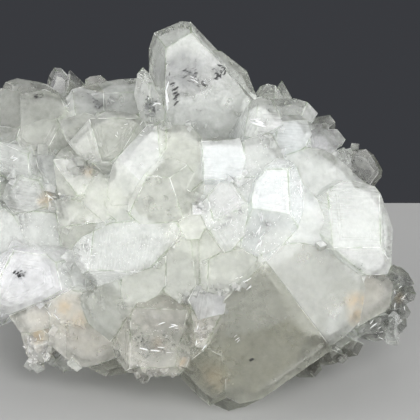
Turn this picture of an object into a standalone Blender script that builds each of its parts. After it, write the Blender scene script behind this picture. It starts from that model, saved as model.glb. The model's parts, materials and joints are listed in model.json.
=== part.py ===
"""Apophyllite cluster: one grown piece of many pale, flat-faced crystals on a common root mass.

Units are metres, +Z is up, the show side faces -Y. Each crystal is a convex solid bounded by flat
planes. The crystals of the show side are given by their outlines, sighted from in front and a little
above; those of the ends, the back and the underside are square prisms with pointed tips that grow
outward from the root mass. All are joined into one closed solid and cut flat underneath, where the
cluster rests.
"""
import math
import random

import bmesh
import bpy
from mathutils import Matrix, Vector

# Driving dimensions, in millimetres and degrees

# The front view in which the show side is sighted, and where the cluster stands in it
SIGHT_STEP = 0.25
SIGHT_CENTRE = 210.0
SIGHT_RISE = 22.0
SIGHT_DISTANCE = 600.0
GROUND_BELOW_CENTRE = 35.5
BASE_BEHIND_CENTRE = 4.5

# This mineral's square prism and four-faced point
PYRAMID_ANGLE = 60.4
PRISM_TAPER = 2.0
BLOCK = 260.0

# The inner mass, and the crystals of the ends and back set out on a dome round it
ROOT_CENTRE = (-4.0, -3.0, -6.0)
ROOT_RADII = (41.0, 24.0, 25.0)
ROOT_FACES = 60
GROWTH_CENTRE = (-5.5, -3.5, -5.0)
GROWTH_RADII = (54.5, 34.0, 35.0)
GROWTH_COUNT = 150
GROWTH_TO_FRONT = 0.12
END_GROWTH_FROM = 0.7
END_GROWTH_TO_FRONT = 0.5
GROWTH_REACH = (0.93, 1.0)
GROWTH_SWAY = 0.3
GROWTH_SIDE = (11.0, 19.0)
GROWTH_BLUNT = (1.0, 5.0)
GROWTH_LENGTH = 26.0
GROWTH_HEART = (-4.0, -3.0, -12.0)
GROWTH_SPREAD = 0.75

# The flat foot and the crystals round it
FOOT_X = (-25.0, 23.0)
FOOT_Y = (-22.0, 14.0)
FOOT_HEIGHT = 18.0
FOOT_DEPTH = 2.0
FOOT_SIDES = 9
FOOT_TURN = 12.0
FOOT_FLARE = 0.3
FOOT_CRYSTALS = 17
FOOT_STAGGER = 0.2
FOOT_REACH = (1.22, 1.38)
FOOT_TIPS = (1.0, 10.0)
FOOT_SWAY = 0.3
FOOT_DIP = (-0.7, -0.1)
FOOT_SIDE = (9.0, 15.0)

# Finish
CRYSTAL_COLOUR = (0.80, 0.83, 0.78, 1.0)
CRYSTAL_ROUGHNESS = 0.12
CRYSTAL_IOR = 1.535

# One millimetre in metres, and the small gaps that cutting and joining merge
MM = 0.001
CUT_GAP = 0.00001
WELD_GAP = 0.01
JOIN_GAP = 0.00002
STRAIGHT = 0.000001
SEED = 41

# Show-side crystals: name, length of the root, outline as (across, down) sight steps, then faces as
# (across, down, nearness, fall to the right, fall upward)
SHOW_CRYSTALS = [
    ("crown", 34,
     [(181, 21), (216, 49), (236, 70), (257, 97), (262, 135), (240, 148), (205, 150), (158, 135),
     (149, 95), (149, 48), (155, 32)],
     [(166, 49, 15, 0.12, -0.12), (181, 21, 10, -0.59, 1.03), (192, 33, 14.7, 1.5, 1.2),
     (166, 49, 15, -2, -0.036)]),
    ("crown_flank", 24,
     [(213, 50), (222, 51), (247, 71), (257, 97), (256, 101), (222, 66), (212, 55)],
     [(240, 82, 12.2, 0.6, 0.5)]),
    ("crown_side", 20,
     [(143, 67), (149, 73), (155, 90), (166, 112), (164, 120), (150, 128), (140, 118), (134, 95),
     (137, 74)],
     [(143, 85, 17, -0.5, 0.15), (152, 100, 18, 0.55, 0.2), (145, 72, 15, 0.2, 0.9)]),
    ("sky_1", 16,
     [(5, 82), (17, 78), (24, 80), (46, 84), (58, 92), (62, 102), (40, 108), (4, 104)],
     [(30, 95, 6, -0.1, 0.5), (15, 81, 3, -0.2, 1.2)]),
    ("sky_2", 14,
     [(47, 84), (49, 75), (55, 68), (61, 68), (66, 76), (68, 90), (58, 96), (50, 94)],
     [(58, 80, 2, 0.2, 0.15), (52, 74, 1.5, -0.9, 0.5), (62, 70, 1, 0.4, 1)]),
    ("sky_3", 14,
     [(70, 70), (80, 79), (86, 90), (76, 98), (66, 94), (66, 78)],
     [(73, 85, 3, 0.4, 0.3), (68, 78, 2.5, -0.9, 0.3)]),
    ("sky_4", 14,
     [(84, 86), (85, 79), (90, 76), (100, 75), (108, 81), (108, 92), (88, 92)],
     [(96, 83, 3, 0.1, 0.5)]),
    ("sky_5", 20,
     [(62, 104), (68, 95), (80, 90), (92, 87), (98, 84), (104, 92), (104, 110), (90, 122), (70, 120),
     (62, 112)],
     [(85, 104, 14, 0.1, 0.55), (68, 104, 13, -0.8, 0.4), (95, 88, 11, 0.3, 1.3)]),
    ("sky_6", 20,
     [(97, 85), (107, 81), (120, 79), (137, 78), (146, 92), (146, 114), (120, 116), (102, 112)],
     [(122, 97, 12, 0.05, 0.35), (118, 82, 8, 0, 1.3)]),
    ("up_1", 18,
     [(-11, 98), (0, 88), (20, 91), (26, 104), (20, 127), (0, 130), (-14, 120)],
     [(5, 108, 10, -0.35, 0.45)]),
    ("up_2", 18,
     [(20, 94), (45, 89), (60, 96), (66, 110), (58, 122), (34, 128), (20, 128)],
     [(40, 108, 14, -0.15, 0.4)]),
    ("up_3", 16,
     [(-14, 124), (4, 126), (20, 128), (16, 140), (0, 148), (-14, 140)],
     [(4, 134, 15, -0.3, 0.1)]),
    ("up_4", 18,
     [(20, 128), (34, 125), (42, 119), (56, 119), (70, 134), (66, 148), (50, 154), (22, 148),
     (16, 140)],
     [(44, 136, 19, -0.1, 0.45), (64, 140, 18, 0.6, 0.1)]),
    ("up_5", 18,
     [(58, 120), (84, 112), (98, 116), (84, 134), (70, 146), (62, 134)],
     [(78, 126, 19, 0.25, 0.5)]),
    ("left_1", 16,
     [(-16, 150), (0, 142), (16, 144), (34, 152), (41, 172), (30, 178), (8, 178), (-16, 170)],
     [(8, 160, 19.5, -0.35, 0.15), (20, 146, 19, 0, 1), (37, 160, 19.5, 0.9, 0.2)]),
    ("left_2", 16,
     [(34, 150), (52, 152), (60, 160), (62, 176), (54, 192), (46, 184), (38, 170)],
     [(50, 168, 22, 0.2, 0.3)]),
    ("left_3", 18,
     [(60, 150), (72, 144), (92, 158), (94, 176), (84, 194), (70, 202), (58, 196), (58, 172)],
     [(74, 172, 26, 0.1, 0.1), (70, 150, 24, 0, 0.9), (64, 190, 25, -0.6, -0.4)]),
    ("left_4", 16,
     [(2, 198), (6, 184), (15, 176), (26, 173), (40, 177), (50, 186), (55, 196), (48, 206), (30, 212),
     (14, 214)],
     [(30, 193, 22.5, -0.25, 0.05), (14, 186, 21.5, -0.9, 0.5), (46, 186, 22.3, 0.8, 0.7),
     (30, 176, 21.5, 0, 1.3)]),
    ("left_5", 18,
     [(-16, 202), (0, 205), (14, 216), (18, 226), (30, 246), (10, 256), (-8, 262), (-16, 240)],
     [(4, 232, 20, -0.4, 0.35), (-6, 210, 18, -0.5, 0.9)]),
    ("left_6", 16,
     [(18, 214), (34, 211), (56, 214), (60, 240), (60, 256), (42, 256), (28, 246), (20, 230)],
     [(40, 232, 22.5, 0.05, -0.15)]),
    ("left_7", 16,
     [(54, 200), (66, 198), (84, 203), (104, 206), (110, 214), (104, 222), (60, 227), (56, 214)],
     [(80, 212, 27.5, -0.1, 0.35)]),
    ("left_8", 14,
     [(58, 226), (104, 221), (110, 226), (92, 240), (74, 252), (62, 246)],
     [(78, 234, 26, 0.1, -0.45)]),
    ("left_block", 24,
     [(-14, 264), (0, 260), (12, 247), (38, 250), (47, 253), (58, 262), (72, 287), (45, 300), (10, 315),
     (-4, 311), (-16, 292)],
     [(30, 282, 27.5, -0.1, 0.1), (4, 260, 25.5, -0.75, 0.45), (30, 251, 26.3, 0.05, 1.1),
     (64, 270, 26.4, 1, 0.35)]),
    ("left_9", 14,
     [(60, 256), (72, 250), (86, 272), (92, 282), (84, 294), (72, 290)],
     [(74, 272, 25, 0.2, 0.1)]),
    ("mid_1", 24,
     [(68, 143), (80, 131), (92, 120), (104, 112), (112, 110), (135, 114), (147, 124), (142, 138),
     (126, 152), (110, 162), (94, 164), (80, 158)],
     [(108, 138, 28.5, 0, 0.35), (112, 114, 25.5, 0, 1.2), (138, 136, 27, 0.85, -0.15),
     (80, 145, 27, -0.5, 0.2)]),
    ("mid_2", 24,
     [(126, 151), (147, 125), (167, 127), (166, 148), (155, 164), (140, 180), (128, 204), (112, 206),
     (107, 196), (108, 180), (113, 164)],
     [(140, 160, 34.5, -0.2, 0.3), (160, 150, 34.6, 0.5, 0.35), (120, 190, 33.6, -0.5, 0)]),
    ("mid_2b", 20,
     [(150, 124), (190, 125), (202, 137), (204, 180), (190, 192), (166, 176), (148, 156)],
     [(186, 152, 33.5, 0, 0.3)]),
    ("mid_3", 24,
     [(140, 181), (155, 163), (170, 157), (186, 164), (192, 178), (205, 184), (202, 198), (194, 214),
     (176, 222), (140, 224), (128, 214), (128, 202)],
     [(160, 198, 37, -0.1, -0.15), (168, 165, 35.8, 0, 0.7), (192, 200, 35.6, 0.5, 0.05),
     (134, 190, 35.6, -0.8, 0.2)]),
    ("mid_3b", 16,
     [(104, 200), (112, 203), (128, 202), (132, 222), (122, 226), (108, 214)],
     [(118, 212, 33, -0.3, 0)]),
    ("mid_7", 18,
     [(178, 224), (194, 212), (202, 196), (207, 224), (200, 240), (186, 240)],
     [(190, 222, 36.3, 0, 0.15)]),
    ("mid_8", 18,
     [(188, 300), (196, 285), (210, 286), (226, 292), (226, 302), (224, 314), (198, 320)],
     [(208, 296, 35.6, 0, 0.3)]),
    ("mid_9", 18,
     [(198, 230), (216, 228), (226, 252), (208, 262), (200, 264)],
     [(210, 246, 35.4, -0.2, 0.05)]),
    ("mid_4", 16,
     [(84, 192), (94, 176), (106, 178), (106, 200), (112, 218), (104, 222), (84, 206)],
     [(98, 198, 30, -0.3, 0.1)]),
    ("white_face", 26,
     [(72, 247), (80, 238), (95, 233), (110, 223), (132, 221), (176, 222), (181, 229), (176, 240),
     (166, 252), (150, 268), (140, 270), (124, 272), (118, 278), (97, 287), (88, 278), (75, 262)],
     [(128, 248, 36, -0.1, 0.12), (105, 280, 34.2, -0.15, -0.8), (82, 248, 33, -0.9, 0.2)]),
    ("mid_5", 18,
     [(122, 272), (150, 268), (166, 256), (166, 285), (158, 296), (138, 300), (126, 312), (120, 290)],
     [(143, 284, 33.5, -0.05, -0.15)]),
    ("mid_6", 18,
     [(160, 262), (176, 240), (192, 230), (199, 240), (200, 286), (192, 304), (180, 304), (164, 292)],
     [(182, 265, 34.5, -0.15, -0.1), (197, 262, 34.3, 0.8, 0)]),
    ("slab", 22,
     [(201, 139), (218, 137), (240, 138), (246, 160), (241, 179), (204, 180)],
     [(222, 160, 37, 0.1, 0.15), (220, 139, 36, 0, 1.4)]),
    ("spark", 22,
     [(198, 210), (205, 199), (220, 182), (229, 178), (240, 194), (249, 206), (244, 236), (232, 251),
     (224, 253), (218, 228), (207, 228)],
     [(224, 205, 39, -0.2, 0.25), (230, 235, 38.3, 0.1, -0.3), (206, 210, 37.7, -0.9, 0.1)]),
    ("between", 16,
     [(226, 179), (250, 177), (264, 172), (262, 196), (250, 208), (240, 200)],
     [(248, 188, 36, 0.05, 0.3)]),
    ("column", 20,
     [(200, 262), (226, 250), (242, 249), (264, 262), (250, 277), (238, 292), (214, 294), (200, 288)],
     [(228, 270, 36.4, 0, -0.05), (204, 272, 35.6, -0.8, 0)]),
    ("bright", 26,
     [(256, 182), (268, 165), (277, 158), (288, 159), (297, 167), (304, 186), (304, 210), (296, 232),
     (284, 242), (263, 263), (240, 250), (243, 230), (246, 212)],
     [(272, 195, 38.5, 0.05, 0.12), (278, 168, 37.4, 0.05, 1.1), (289, 195, 38.3, 0.8, 0.15),
     (262, 215, 38.6, -0.02, -0.35), (244, 212, 37.4, -0.9, 0)]),
    ("facet_1", 18,
     [(244, 140), (256, 138), (270, 132), (280, 148), (284, 158), (270, 164), (258, 176), (244, 178)],
     [(262, 156, 34.5, 0.05, 0.3)]),
    ("facet_2", 18,
     [(298, 176), (306, 192), (318, 200), (318, 228), (334, 247), (312, 266), (284, 242), (300, 222)],
     [(312, 228, 34, 0.2, -0.05), (308, 255, 33.5, 0, -0.5)]),
    ("right_1", 20,
     [(250, 101), (262, 98), (271, 100), (276, 112), (284, 124), (270, 130), (256, 139), (244, 136)],
     [(262, 116, 27, 0.2, 0.35), (256, 110, 26.5, -0.6, 0.4)]),
    ("right_2", 14,
     [(256, 98), (260, 86), (268, 83), (274, 85), (284, 97), (284, 106), (260, 106)],
     [(266, 94, 8, 0, 0.35), (280, 94, 7, 0.8, 0.3)]),
    ("right_3", 12,
     [(275, 93), (282, 80), (292, 97), (292, 104), (276, 104)],
     [(281, 92, 6, 0.2, 0.4)]),
    ("right_4", 18,
     [(272, 99), (296, 98), (310, 106), (318, 113), (312, 122), (284, 122), (277, 112)],
     [(292, 108, 15, 0.15, 0.45), (312, 113, 13, 0.9, 0.1)]),
    ("right_5", 20,
     [(277, 120), (284, 116), (300, 114), (309, 124), (312, 134), (306, 147), (294, 154), (284, 158),
     (276, 142)],
     [(294, 136, 25, 0.15, 0.4), (290, 117, 22.5, 0.1, 1.2)]),
    ("right_6", 16,
     [(309, 132), (315, 128), (328, 129), (340, 145), (332, 154), (312, 152)],
     [(322, 140, 20, 0.4, 0.3)]),
    ("right_7", 12,
     [(309, 126), (316, 117), (330, 115), (336, 122), (335, 132), (320, 134)],
     [(326, 124, 9, 0.4, 0.4)]),
    ("right_8", 12,
     [(326, 129), (338, 129), (346, 139), (342, 146), (334, 146)],
     [(338, 137, 12, 0.6, 0.5)]),
    ("right_9", 12,
     [(334, 152), (344, 147), (351, 154), (352, 168), (342, 168), (335, 160)],
     [(344, 158, 17, 0.5, 0.3)]),
    ("smoky", 24,
     [(347, 156), (350, 150), (366, 149), (374, 155), (380, 168), (382, 177), (374, 187), (356, 187)],
     [(362, 168, 5, 0.25, 0.15), (372, 158, 4, 0.9, 0.6), (378, 180, 3.5, 1, -0.4)]),
    ("gray_face", 22,
     [(283, 156), (296, 152), (309, 147), (326, 150), (341, 162), (352, 170), (358, 186), (344, 184),
     (316, 202), (304, 194), (296, 176)],
     [(318, 172, 28, 0.15, 0.3), (344, 170, 26, 0.6, 0.3), (296, 162, 29.2, -0.3, 0.35)]),
    ("right_block", 28,
     [(311, 209), (315, 200), (330, 188), (343, 181), (350, 180), (375, 186), (382, 196), (393, 229),
     (392, 246), (387, 275), (366, 275), (350, 263), (334, 249), (324, 235), (314, 228)],
     [(350, 215, 33, 0.15, 0.3), (360, 247, 35, 0.15, -0.35), (325, 205, 32.6, -0.5, 0.25),
     (384, 215, 30.8, 1.1, 0.3)]),
    ("gap_face", 14,
     [(346, 264), (350, 260), (366, 262), (367, 276), (360, 290), (350, 280)],
     [(357, 272, 30, 0.2, 0.1)]),
    ("right_face", 18,
     [(365, 274), (386, 275), (391, 285), (397, 291), (393, 301), (385, 312), (372, 319), (358, 327),
     (361, 300)],
     [(376, 296, 25.5, 0.35, -0.1), (390, 297, 24.5, 1, -0.2)]),
    ("great_left", 30,
     [(266, 262), (290, 293), (330, 346), (331, 351), (315, 361), (297, 372), (280, 386), (262, 399),
     (240, 404), (224, 396), (214, 380), (207, 350), (224, 318), (224, 300), (236, 292), (249, 277)],
     [(262, 320, 35.5, -0.08, -0.32)]),
    ("great_right", 26,
     [(266, 262), (284, 244), (300, 243), (334, 249), (350, 262), (362, 276), (366, 290), (360, 322),
     (344, 338), (329, 347), (290, 293)],
     [(316, 292, 34, 0.34, 0.02)]),
    ("window", 24,
     [(111, 346), (118, 334), (128, 317), (140, 297), (150, 292), (166, 291), (181, 299), (192, 312),
     (198, 330), (197, 347), (190, 362), (178, 376), (164, 377), (130, 373), (118, 362)],
     [(160, 335, 33.5, -0.05, -0.12), (160, 297, 31.8, 0, 0.9), (124, 345, 31.5, -0.9, -0.1),
     (188, 345, 32, 0.7, -0.3), (155, 372, 31, 0, -1.3)]),
    ("window_side", 16,
     [(190, 309), (198, 316), (224, 311), (224, 319), (207, 348), (196, 348)],
     [(207, 328, 35.5, 0.1, -0.1), (214, 335, 34.8, 0.7, -0.4)]),
    ("low_1", 18,
     [(80, 304), (82, 292), (97, 286), (118, 279), (126, 300), (128, 314), (118, 332), (110, 342),
     (88, 324)],
     [(104, 308, 31, -0.1, -0.2)]),
    ("low_2", 16,
     [(46, 302), (70, 290), (84, 292), (82, 308), (90, 324), (72, 338), (50, 326)],
     [(68, 312, 26.5, -0.2, -0.25)]),
    ("low_3", 16,
     [(50, 326), (72, 336), (90, 322), (112, 342), (116, 358), (100, 364), (84, 368), (62, 354),
     (48, 344)],
     [(84, 346, 25, -0.15, -0.3), (62, 342, 24, -0.6, -0.3)]),
    ("low_4", 14,
     [(8, 316), (42, 301), (52, 312), (50, 328), (30, 333), (20, 333)],
     [(32, 318, 21.5, -0.3, -0.35)]),
    ("low_5", 14,
     [(20, 332), (40, 327), (52, 338), (51, 352), (47, 361), (40, 366), (33, 363), (26, 354)],
     [(38, 345, 17, -0.3, -0.3), (28, 345, 16.2, -1, -0.3)]),
    ("low_6", 12,
     [(52, 362), (62, 354), (76, 358), (85, 366), (76, 371), (62, 372)],
     [(68, 364, 15, -0.1, -0.4)]),
    ("low_7", 14,
     [(84, 366), (114, 355), (130, 373), (105, 377)],
     [(108, 368, 20, -0.1, -0.5)]),
    ("low_8", 12,
     [(130, 366), (155, 366), (148, 383), (142, 384)],
     [(143, 374, 20, -0.1, -0.3)]),
    ("low_9", 16,
     [(180, 377), (190, 361), (206, 348), (222, 356), (226, 380), (226, 398), (210, 406), (198, 397)],
     [(206, 378, 31, -0.25, -0.35)]),
    ("low_10", 14,
     [(208, 400), (222, 386), (240, 381), (264, 387), (262, 399), (245, 407), (228, 411), (216, 406)],
     [(238, 396, 28, 0, -0.45)]),
    ("low_11", 24,
     [(290, 368), (318, 358), (322, 370), (315, 378), (298, 378)],
     [(308, 370, 18, 0.2, -0.5)]),
    ("low_12", 22,
     [(318, 356), (334, 350), (344, 356), (336, 364), (324, 366)],
     [(330, 358, 16, 0.2, -0.5)]),
    ("low_13", 22,
     [(340, 348), (352, 340), (364, 344), (358, 356), (346, 358)],
     [(352, 350, 14, 0.2, -0.5)]),
    ("edge_1", 22,
     [(-24, 112), (-14, 101), (-4, 98), (-2, 114), (-10, 128), (-22, 132), (-27, 124)],
     [(-16, 116, 8, -0.5, 0.5), (-24, 118, 6, -1.2, 0.5)]),
    ("edge_2", 22,
     [(-36, 138), (-24, 128), (-6, 132), (-4, 152), (-18, 166), (-36, 158)],
     [(-22, 146, 12, -0.5, 0.25), (-34, 148, 9, -1.3, 0)]),
    ("edge_3", 24,
     [(-45, 178), (-30, 162), (-8, 160), (-2, 182), (-10, 200), (-26, 208), (-42, 196)],
     [(-22, 184, 15, -0.4, 0.1), (-38, 184, 11, -1.3, 0)]),
    ("edge_4", 24,
     [(-43, 212), (-26, 204), (-6, 204), (-2, 226), (-8, 248), (-24, 256), (-39, 240)],
     [(-22, 230, 15.5, -0.5, -0.05), (-36, 228, 12, -1.4, -0.1)]),
    ("edge_5", 24,
     [(-31, 262), (-22, 252), (-6, 254), (-4, 276), (-8, 296), (-20, 300), (-30, 284)],
     [(-18, 276, 16, -0.6, -0.2), (-32, 274, 12, -1.3, -0.2)]),
    ("edge_6", 20,
     [(-22, 306), (-12, 296), (2, 300), (12, 314), (2, 326), (-12, 322)],
     [(-6, 310, 14, -0.4, -0.5)]),
    ("clear_1", 24,
     [(384, 274), (393, 264), (401, 267), (409, 274), (415, 284), (404, 288), (390, 286)],
     [(400, 276, 10, 0.3, 0.2)]),
    ("clear_2", 26,
     [(392, 284), (413, 286), (417, 294), (414, 301), (406, 304), (394, 298)],
     [(404, 294, 8, 0.3, -0.1)]),
    ("clear_3", 26,
     [(384, 310), (392, 298), (406, 304), (411, 312), (408, 319), (390, 321)],
     [(398, 311, 8, 0.4, -0.2)]),
    ("clear_4", 26,
     [(386, 322), (390, 317), (407, 318), (407, 326), (398, 337), (390, 343), (383, 338)],
     [(395, 328, 9, 0.3, -0.2)]),
    ("clear_5", 22,
     [(356, 330), (372, 318), (388, 314), (390, 326), (384, 340), (374, 342), (360, 338)],
     [(374, 328, 14, 0.2, -0.25)]),
]

# Crystals whose root doesn't point at the heart of the growth
ROOT_LEAN = {"crown": (0.0, -1.0, -1.0), "crown_flank": (0.0, -0.9, -1.0)}


def sight_axes():
    """Right, up and toward the viewer, in the cluster's own axes."""
    rise = math.radians(SIGHT_RISE)
    right = Vector((1.0, 0.0, 0.0))
    up = Vector((0.0, math.sin(rise), math.cos(rise)))
    toward = Vector((0.0, -math.cos(rise), math.sin(rise)))
    return right, up, toward


RIGHT, UP, TOWARD = sight_axes()
EYE = Vector((0.0, 0.0, SIGHT_DISTANCE))


def settle(mesh):
    """Carry a mesh from sighting millimetres to the cluster's own metres, base centre at zero."""
    frame = Matrix((RIGHT, UP, TOWARD)).transposed().to_4x4()
    shift = Matrix.Translation((0.0, -BASE_BEHIND_CENTRE, GROUND_BELOW_CENTRE))
    bmesh.ops.transform(mesh, matrix=Matrix.Scale(MM, 4) @ shift @ frame, verts=mesh.verts)


def sight_ray(across, down):
    """The line of sight through one point of the front view."""
    return Vector(((across - SIGHT_CENTRE) * SIGHT_STEP, (SIGHT_CENTRE - down) * SIGHT_STEP,
                   -SIGHT_DISTANCE))


def face_plane(across, down, nearness, fall_right, fall_up):
    """A crystal face through a sighted point, falling away to the right and upward."""
    point = EYE + sight_ray(across, down) * ((SIGHT_DISTANCE - nearness) / SIGHT_DISTANCE)
    normal = Vector((fall_right, fall_up, 1.0)).normalized()
    return normal, normal.dot(point)


def outer_loop(points):
    """Convex loop round (x, y, corner) points."""
    points = sorted(points, key=lambda p: (p[0], p[1]))

    def half(sequence):
        chain = []
        for p in sequence:
            while len(chain) > 1:
                a, b = chain[-2], chain[-1]
                if (b[0] - a[0]) * (p[1] - a[1]) - (b[1] - a[1]) * (p[0] - a[0]) > STRAIGHT:
                    break
                chain.pop()
            chain.append(p)
        return chain[:-1]

    return half(points) + half(points[::-1])


def outlined_planes(name, length, outline, faces):
    """Planes of a crystal whose outline is sighted: its faces, its sides and its broken root."""
    planes = [face_plane(*face) for face in faces]
    corners = []
    for across, down in outline:
        ray = sight_ray(across, down)
        reach = max((height - normal.dot(EYE)) / normal.dot(ray) for normal, height in planes)
        corners.append(EYE + ray * reach)
    middle = sum(corners, Vector()) / len(corners)
    root = Vector(GROWTH_HEART) - middle
    root.x *= GROWTH_SPREAD
    root.y *= GROWTH_SPREAD
    root = Vector(ROOT_LEAN.get(name, root)).normalized()
    side = root.cross(Vector((0.0, 1.0, 0.0))).normalized()
    rise = side.cross(root)
    loop = outer_loop([(corner.dot(side), corner.dot(rise), corner) for corner in corners])
    for (_, _, here), (_, _, there) in zip(loop, loop[1:] + loop[:1]):
        normal = (there - here).cross(root).normalized()
        if normal.dot(middle - here) > 0.0:
            normal.negate()
        planes.append((normal, normal.dot(here)))
    planes.append((root, root.dot(middle) + length))
    return planes


def grown_planes(tip, axis, twist, sides, length, blunt):
    """Planes of a square prism with a four-faced point, as this mineral grows."""
    across = axis.orthogonal().normalized()
    across.rotate(Matrix.Rotation(twist, 3, axis))
    planes = []
    taper = math.radians(PRISM_TAPER)
    for quarter in range(4):
        outward = Matrix.Rotation(quarter * math.pi / 2.0, 3, axis) @ across
        normal = outward * math.cos(taper) + axis * math.sin(taper)
        planes.append((normal, normal.dot(tip + outward * sides[quarter % 2] / 2.0)))
    steep = math.radians(PYRAMID_ANGLE)
    for quarter in range(4):
        corner = Matrix.Rotation((quarter + 0.5) * math.pi / 2.0, 3, axis) @ across
        normal = corner * math.sin(steep) + axis * math.cos(steep)
        planes.append((normal, normal.dot(tip)))
    planes.append((axis.copy(), axis.dot(tip) - blunt))
    planes.append((-axis, -axis.dot(tip) + length))
    return planes


def spiral_directions(count):
    """Evenly spread directions over a sphere."""
    turn = math.pi * (3.0 - math.sqrt(5.0))
    for index in range(count):
        height = 1.0 - (2.0 * index + 1.0) / count
        ring = math.sqrt(1.0 - height * height)
        yield Vector((ring * math.cos(turn * index), ring * math.sin(turn * index), height))


def on_dome(direction, centre, radii, reach):
    return Vector([c + d * r * reach for c, d, r in zip(centre, direction, radii)])


def root_planes():
    """The faceted inner mass that every crystal grows from."""
    planes = []
    for direction in spiral_directions(ROOT_FACES):
        point = on_dome(direction, ROOT_CENTRE, ROOT_RADII, 1.0)
        normal = Vector([d / r for d, r in zip(direction, ROOT_RADII)]).normalized()
        planes.append((normal, normal.dot(point)))
    return planes


def foot_outline():
    """Middle and half size of the foot on the ground."""
    middle = Vector(((FOOT_X[0] + FOOT_X[1]) / 2.0, (FOOT_Y[0] + FOOT_Y[1]) / 2.0, 0.0))
    half = Vector(((FOOT_X[1] - FOOT_X[0]) / 2.0, (FOOT_Y[1] - FOOT_Y[0]) / 2.0, 0.0))
    return middle, half


def foot_planes():
    """The broken root underneath, flaring upward into the cluster, in the cluster's own axes."""
    middle, half = foot_outline()
    planes = [(Vector((0.0, 0.0, -1.0)), FOOT_DEPTH), (Vector((0.0, 0.0, 1.0)), FOOT_HEIGHT)]
    for step in range(FOOT_SIDES):
        angle = math.radians(360.0 * step / FOOT_SIDES + FOOT_TURN * math.sin(3.0 * step))
        out = Vector((math.cos(angle), math.sin(angle), 0.0))
        reach = math.hypot(out.x * half.x, out.y * half.y)
        flare = FOOT_FLARE * (1.0 + 0.5 * math.sin(5.0 * step))
        normal = (out - Vector((0.0, 0.0, flare))).normalized()
        planes.append((normal, normal.dot(middle + out * reach)))
    return [in_sight(normal, height) for normal, height in planes]


def in_sight(normal, height):
    """Turn a plane given in the cluster's own millimetres into sighting axes."""
    turned = Vector((normal.dot(RIGHT), normal.dot(UP), normal.dot(TOWARD)))
    shift = Vector((0.0, -BASE_BEHIND_CENTRE, GROUND_BELOW_CENTRE))
    return turned, height - normal.dot(shift)


def convex_solid(name, planes, store):
    """Trim a large block by every plane and keep what is inside all of them."""
    mesh = bmesh.new()
    bmesh.ops.create_cube(mesh, size=BLOCK)
    for normal, height in planes:
        everything = mesh.verts[:] + mesh.edges[:] + mesh.faces[:]
        cut = bmesh.ops.bisect_plane(mesh, geom=everything, dist=CUT_GAP, plane_co=normal * height,
                                     plane_no=normal, clear_outer=True)
        rim = [item for item in cut["geom_cut"] if isinstance(item, bmesh.types.BMEdge)]
        if len(rim) > 2:
            bmesh.ops.edgeloop_fill(mesh, edges=rim)
    bmesh.ops.remove_doubles(mesh, verts=mesh.verts, dist=WELD_GAP)
    bmesh.ops.recalc_face_normals(mesh, faces=mesh.faces)
    settle(mesh)
    data = bpy.data.meshes.new(name)
    mesh.to_mesh(data)
    mesh.free()
    solid = bpy.data.objects.new(name, data)
    store.objects.link(solid)
    solid.hide_render = True
    solid.display_type = "WIRE"
    return solid


def grown_crystals():
    """Crystals of the ends, the back and the underside, set out on a dome."""
    chance = random.Random(SEED)
    for direction in spiral_directions(GROWTH_COUNT):
        at_end = abs(direction.x) > END_GROWTH_FROM
        if direction.z > (END_GROWTH_TO_FRONT if at_end else GROWTH_TO_FRONT):
            continue
        reach = chance.uniform(*GROWTH_REACH)
        sides = (chance.uniform(*GROWTH_SIDE), chance.uniform(*GROWTH_SIDE))
        twist = chance.uniform(0.0, math.pi / 2.0)
        blunt = chance.uniform(*GROWTH_BLUNT)
        sway = Vector([chance.uniform(-GROWTH_SWAY, GROWTH_SWAY) for _ in range(3)])
        tip = on_dome(direction, GROWTH_CENTRE, GROWTH_RADII, reach)
        axis = (direction + sway).normalized()
        yield grown_planes(tip, axis, twist, sides, GROWTH_LENGTH, blunt)


def foot_crystals():
    """Crystals leaning out and down round the foot; the flat cut trims the lowest of them."""
    chance = random.Random(SEED + 1)
    middle, half = foot_outline()
    for step in range(FOOT_CRYSTALS):
        stagger = chance.uniform(-FOOT_STAGGER, FOOT_STAGGER)
        angle = 2.0 * math.pi * (step + stagger) / FOOT_CRYSTALS
        out = Vector((math.cos(angle), math.sin(angle), 0.0))
        reach = chance.uniform(*FOOT_REACH)
        tip = middle + Vector((out.x * half.x * reach, out.y * half.y * reach,
                               chance.uniform(*FOOT_TIPS)))
        sway = Vector((chance.uniform(-FOOT_SWAY, FOOT_SWAY), chance.uniform(-FOOT_SWAY, FOOT_SWAY),
                       chance.uniform(*FOOT_DIP)))
        axis = (out + sway).normalized()
        sides = (chance.uniform(*FOOT_SIDE), chance.uniform(*FOOT_SIDE))
        planes = grown_planes(tip, axis, chance.uniform(0.0, math.pi / 2.0), sides,
                              GROWTH_LENGTH, chance.uniform(*GROWTH_BLUNT))
        yield [in_sight(normal, height) for normal, height in planes]


def join(body, store):
    """Unite the body with every crystal in the store and return the joined mesh."""
    union = body.modifiers.new("join crystals", "BOOLEAN")
    union.operation = "UNION"
    union.solver = "EXACT"
    union.operand_type = "COLLECTION"
    union.collection = store
    graph = bpy.context.evaluated_depsgraph_get()
    joined = bmesh.new()
    joined.from_mesh(body.evaluated_get(graph).to_mesh())
    return joined


def shells(mesh):
    """Groups of faces that hang together."""
    mesh.faces.ensure_lookup_table()
    waiting = set(mesh.faces)
    while waiting:
        group, edge_of = [], [waiting.pop()]
        while edge_of:
            face = edge_of.pop()
            group.append(face)
            for edge in face.edges:
                for other in edge.link_faces:
                    if other in waiting:
                        waiting.remove(other)
                        edge_of.append(other)
        yield group


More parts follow.
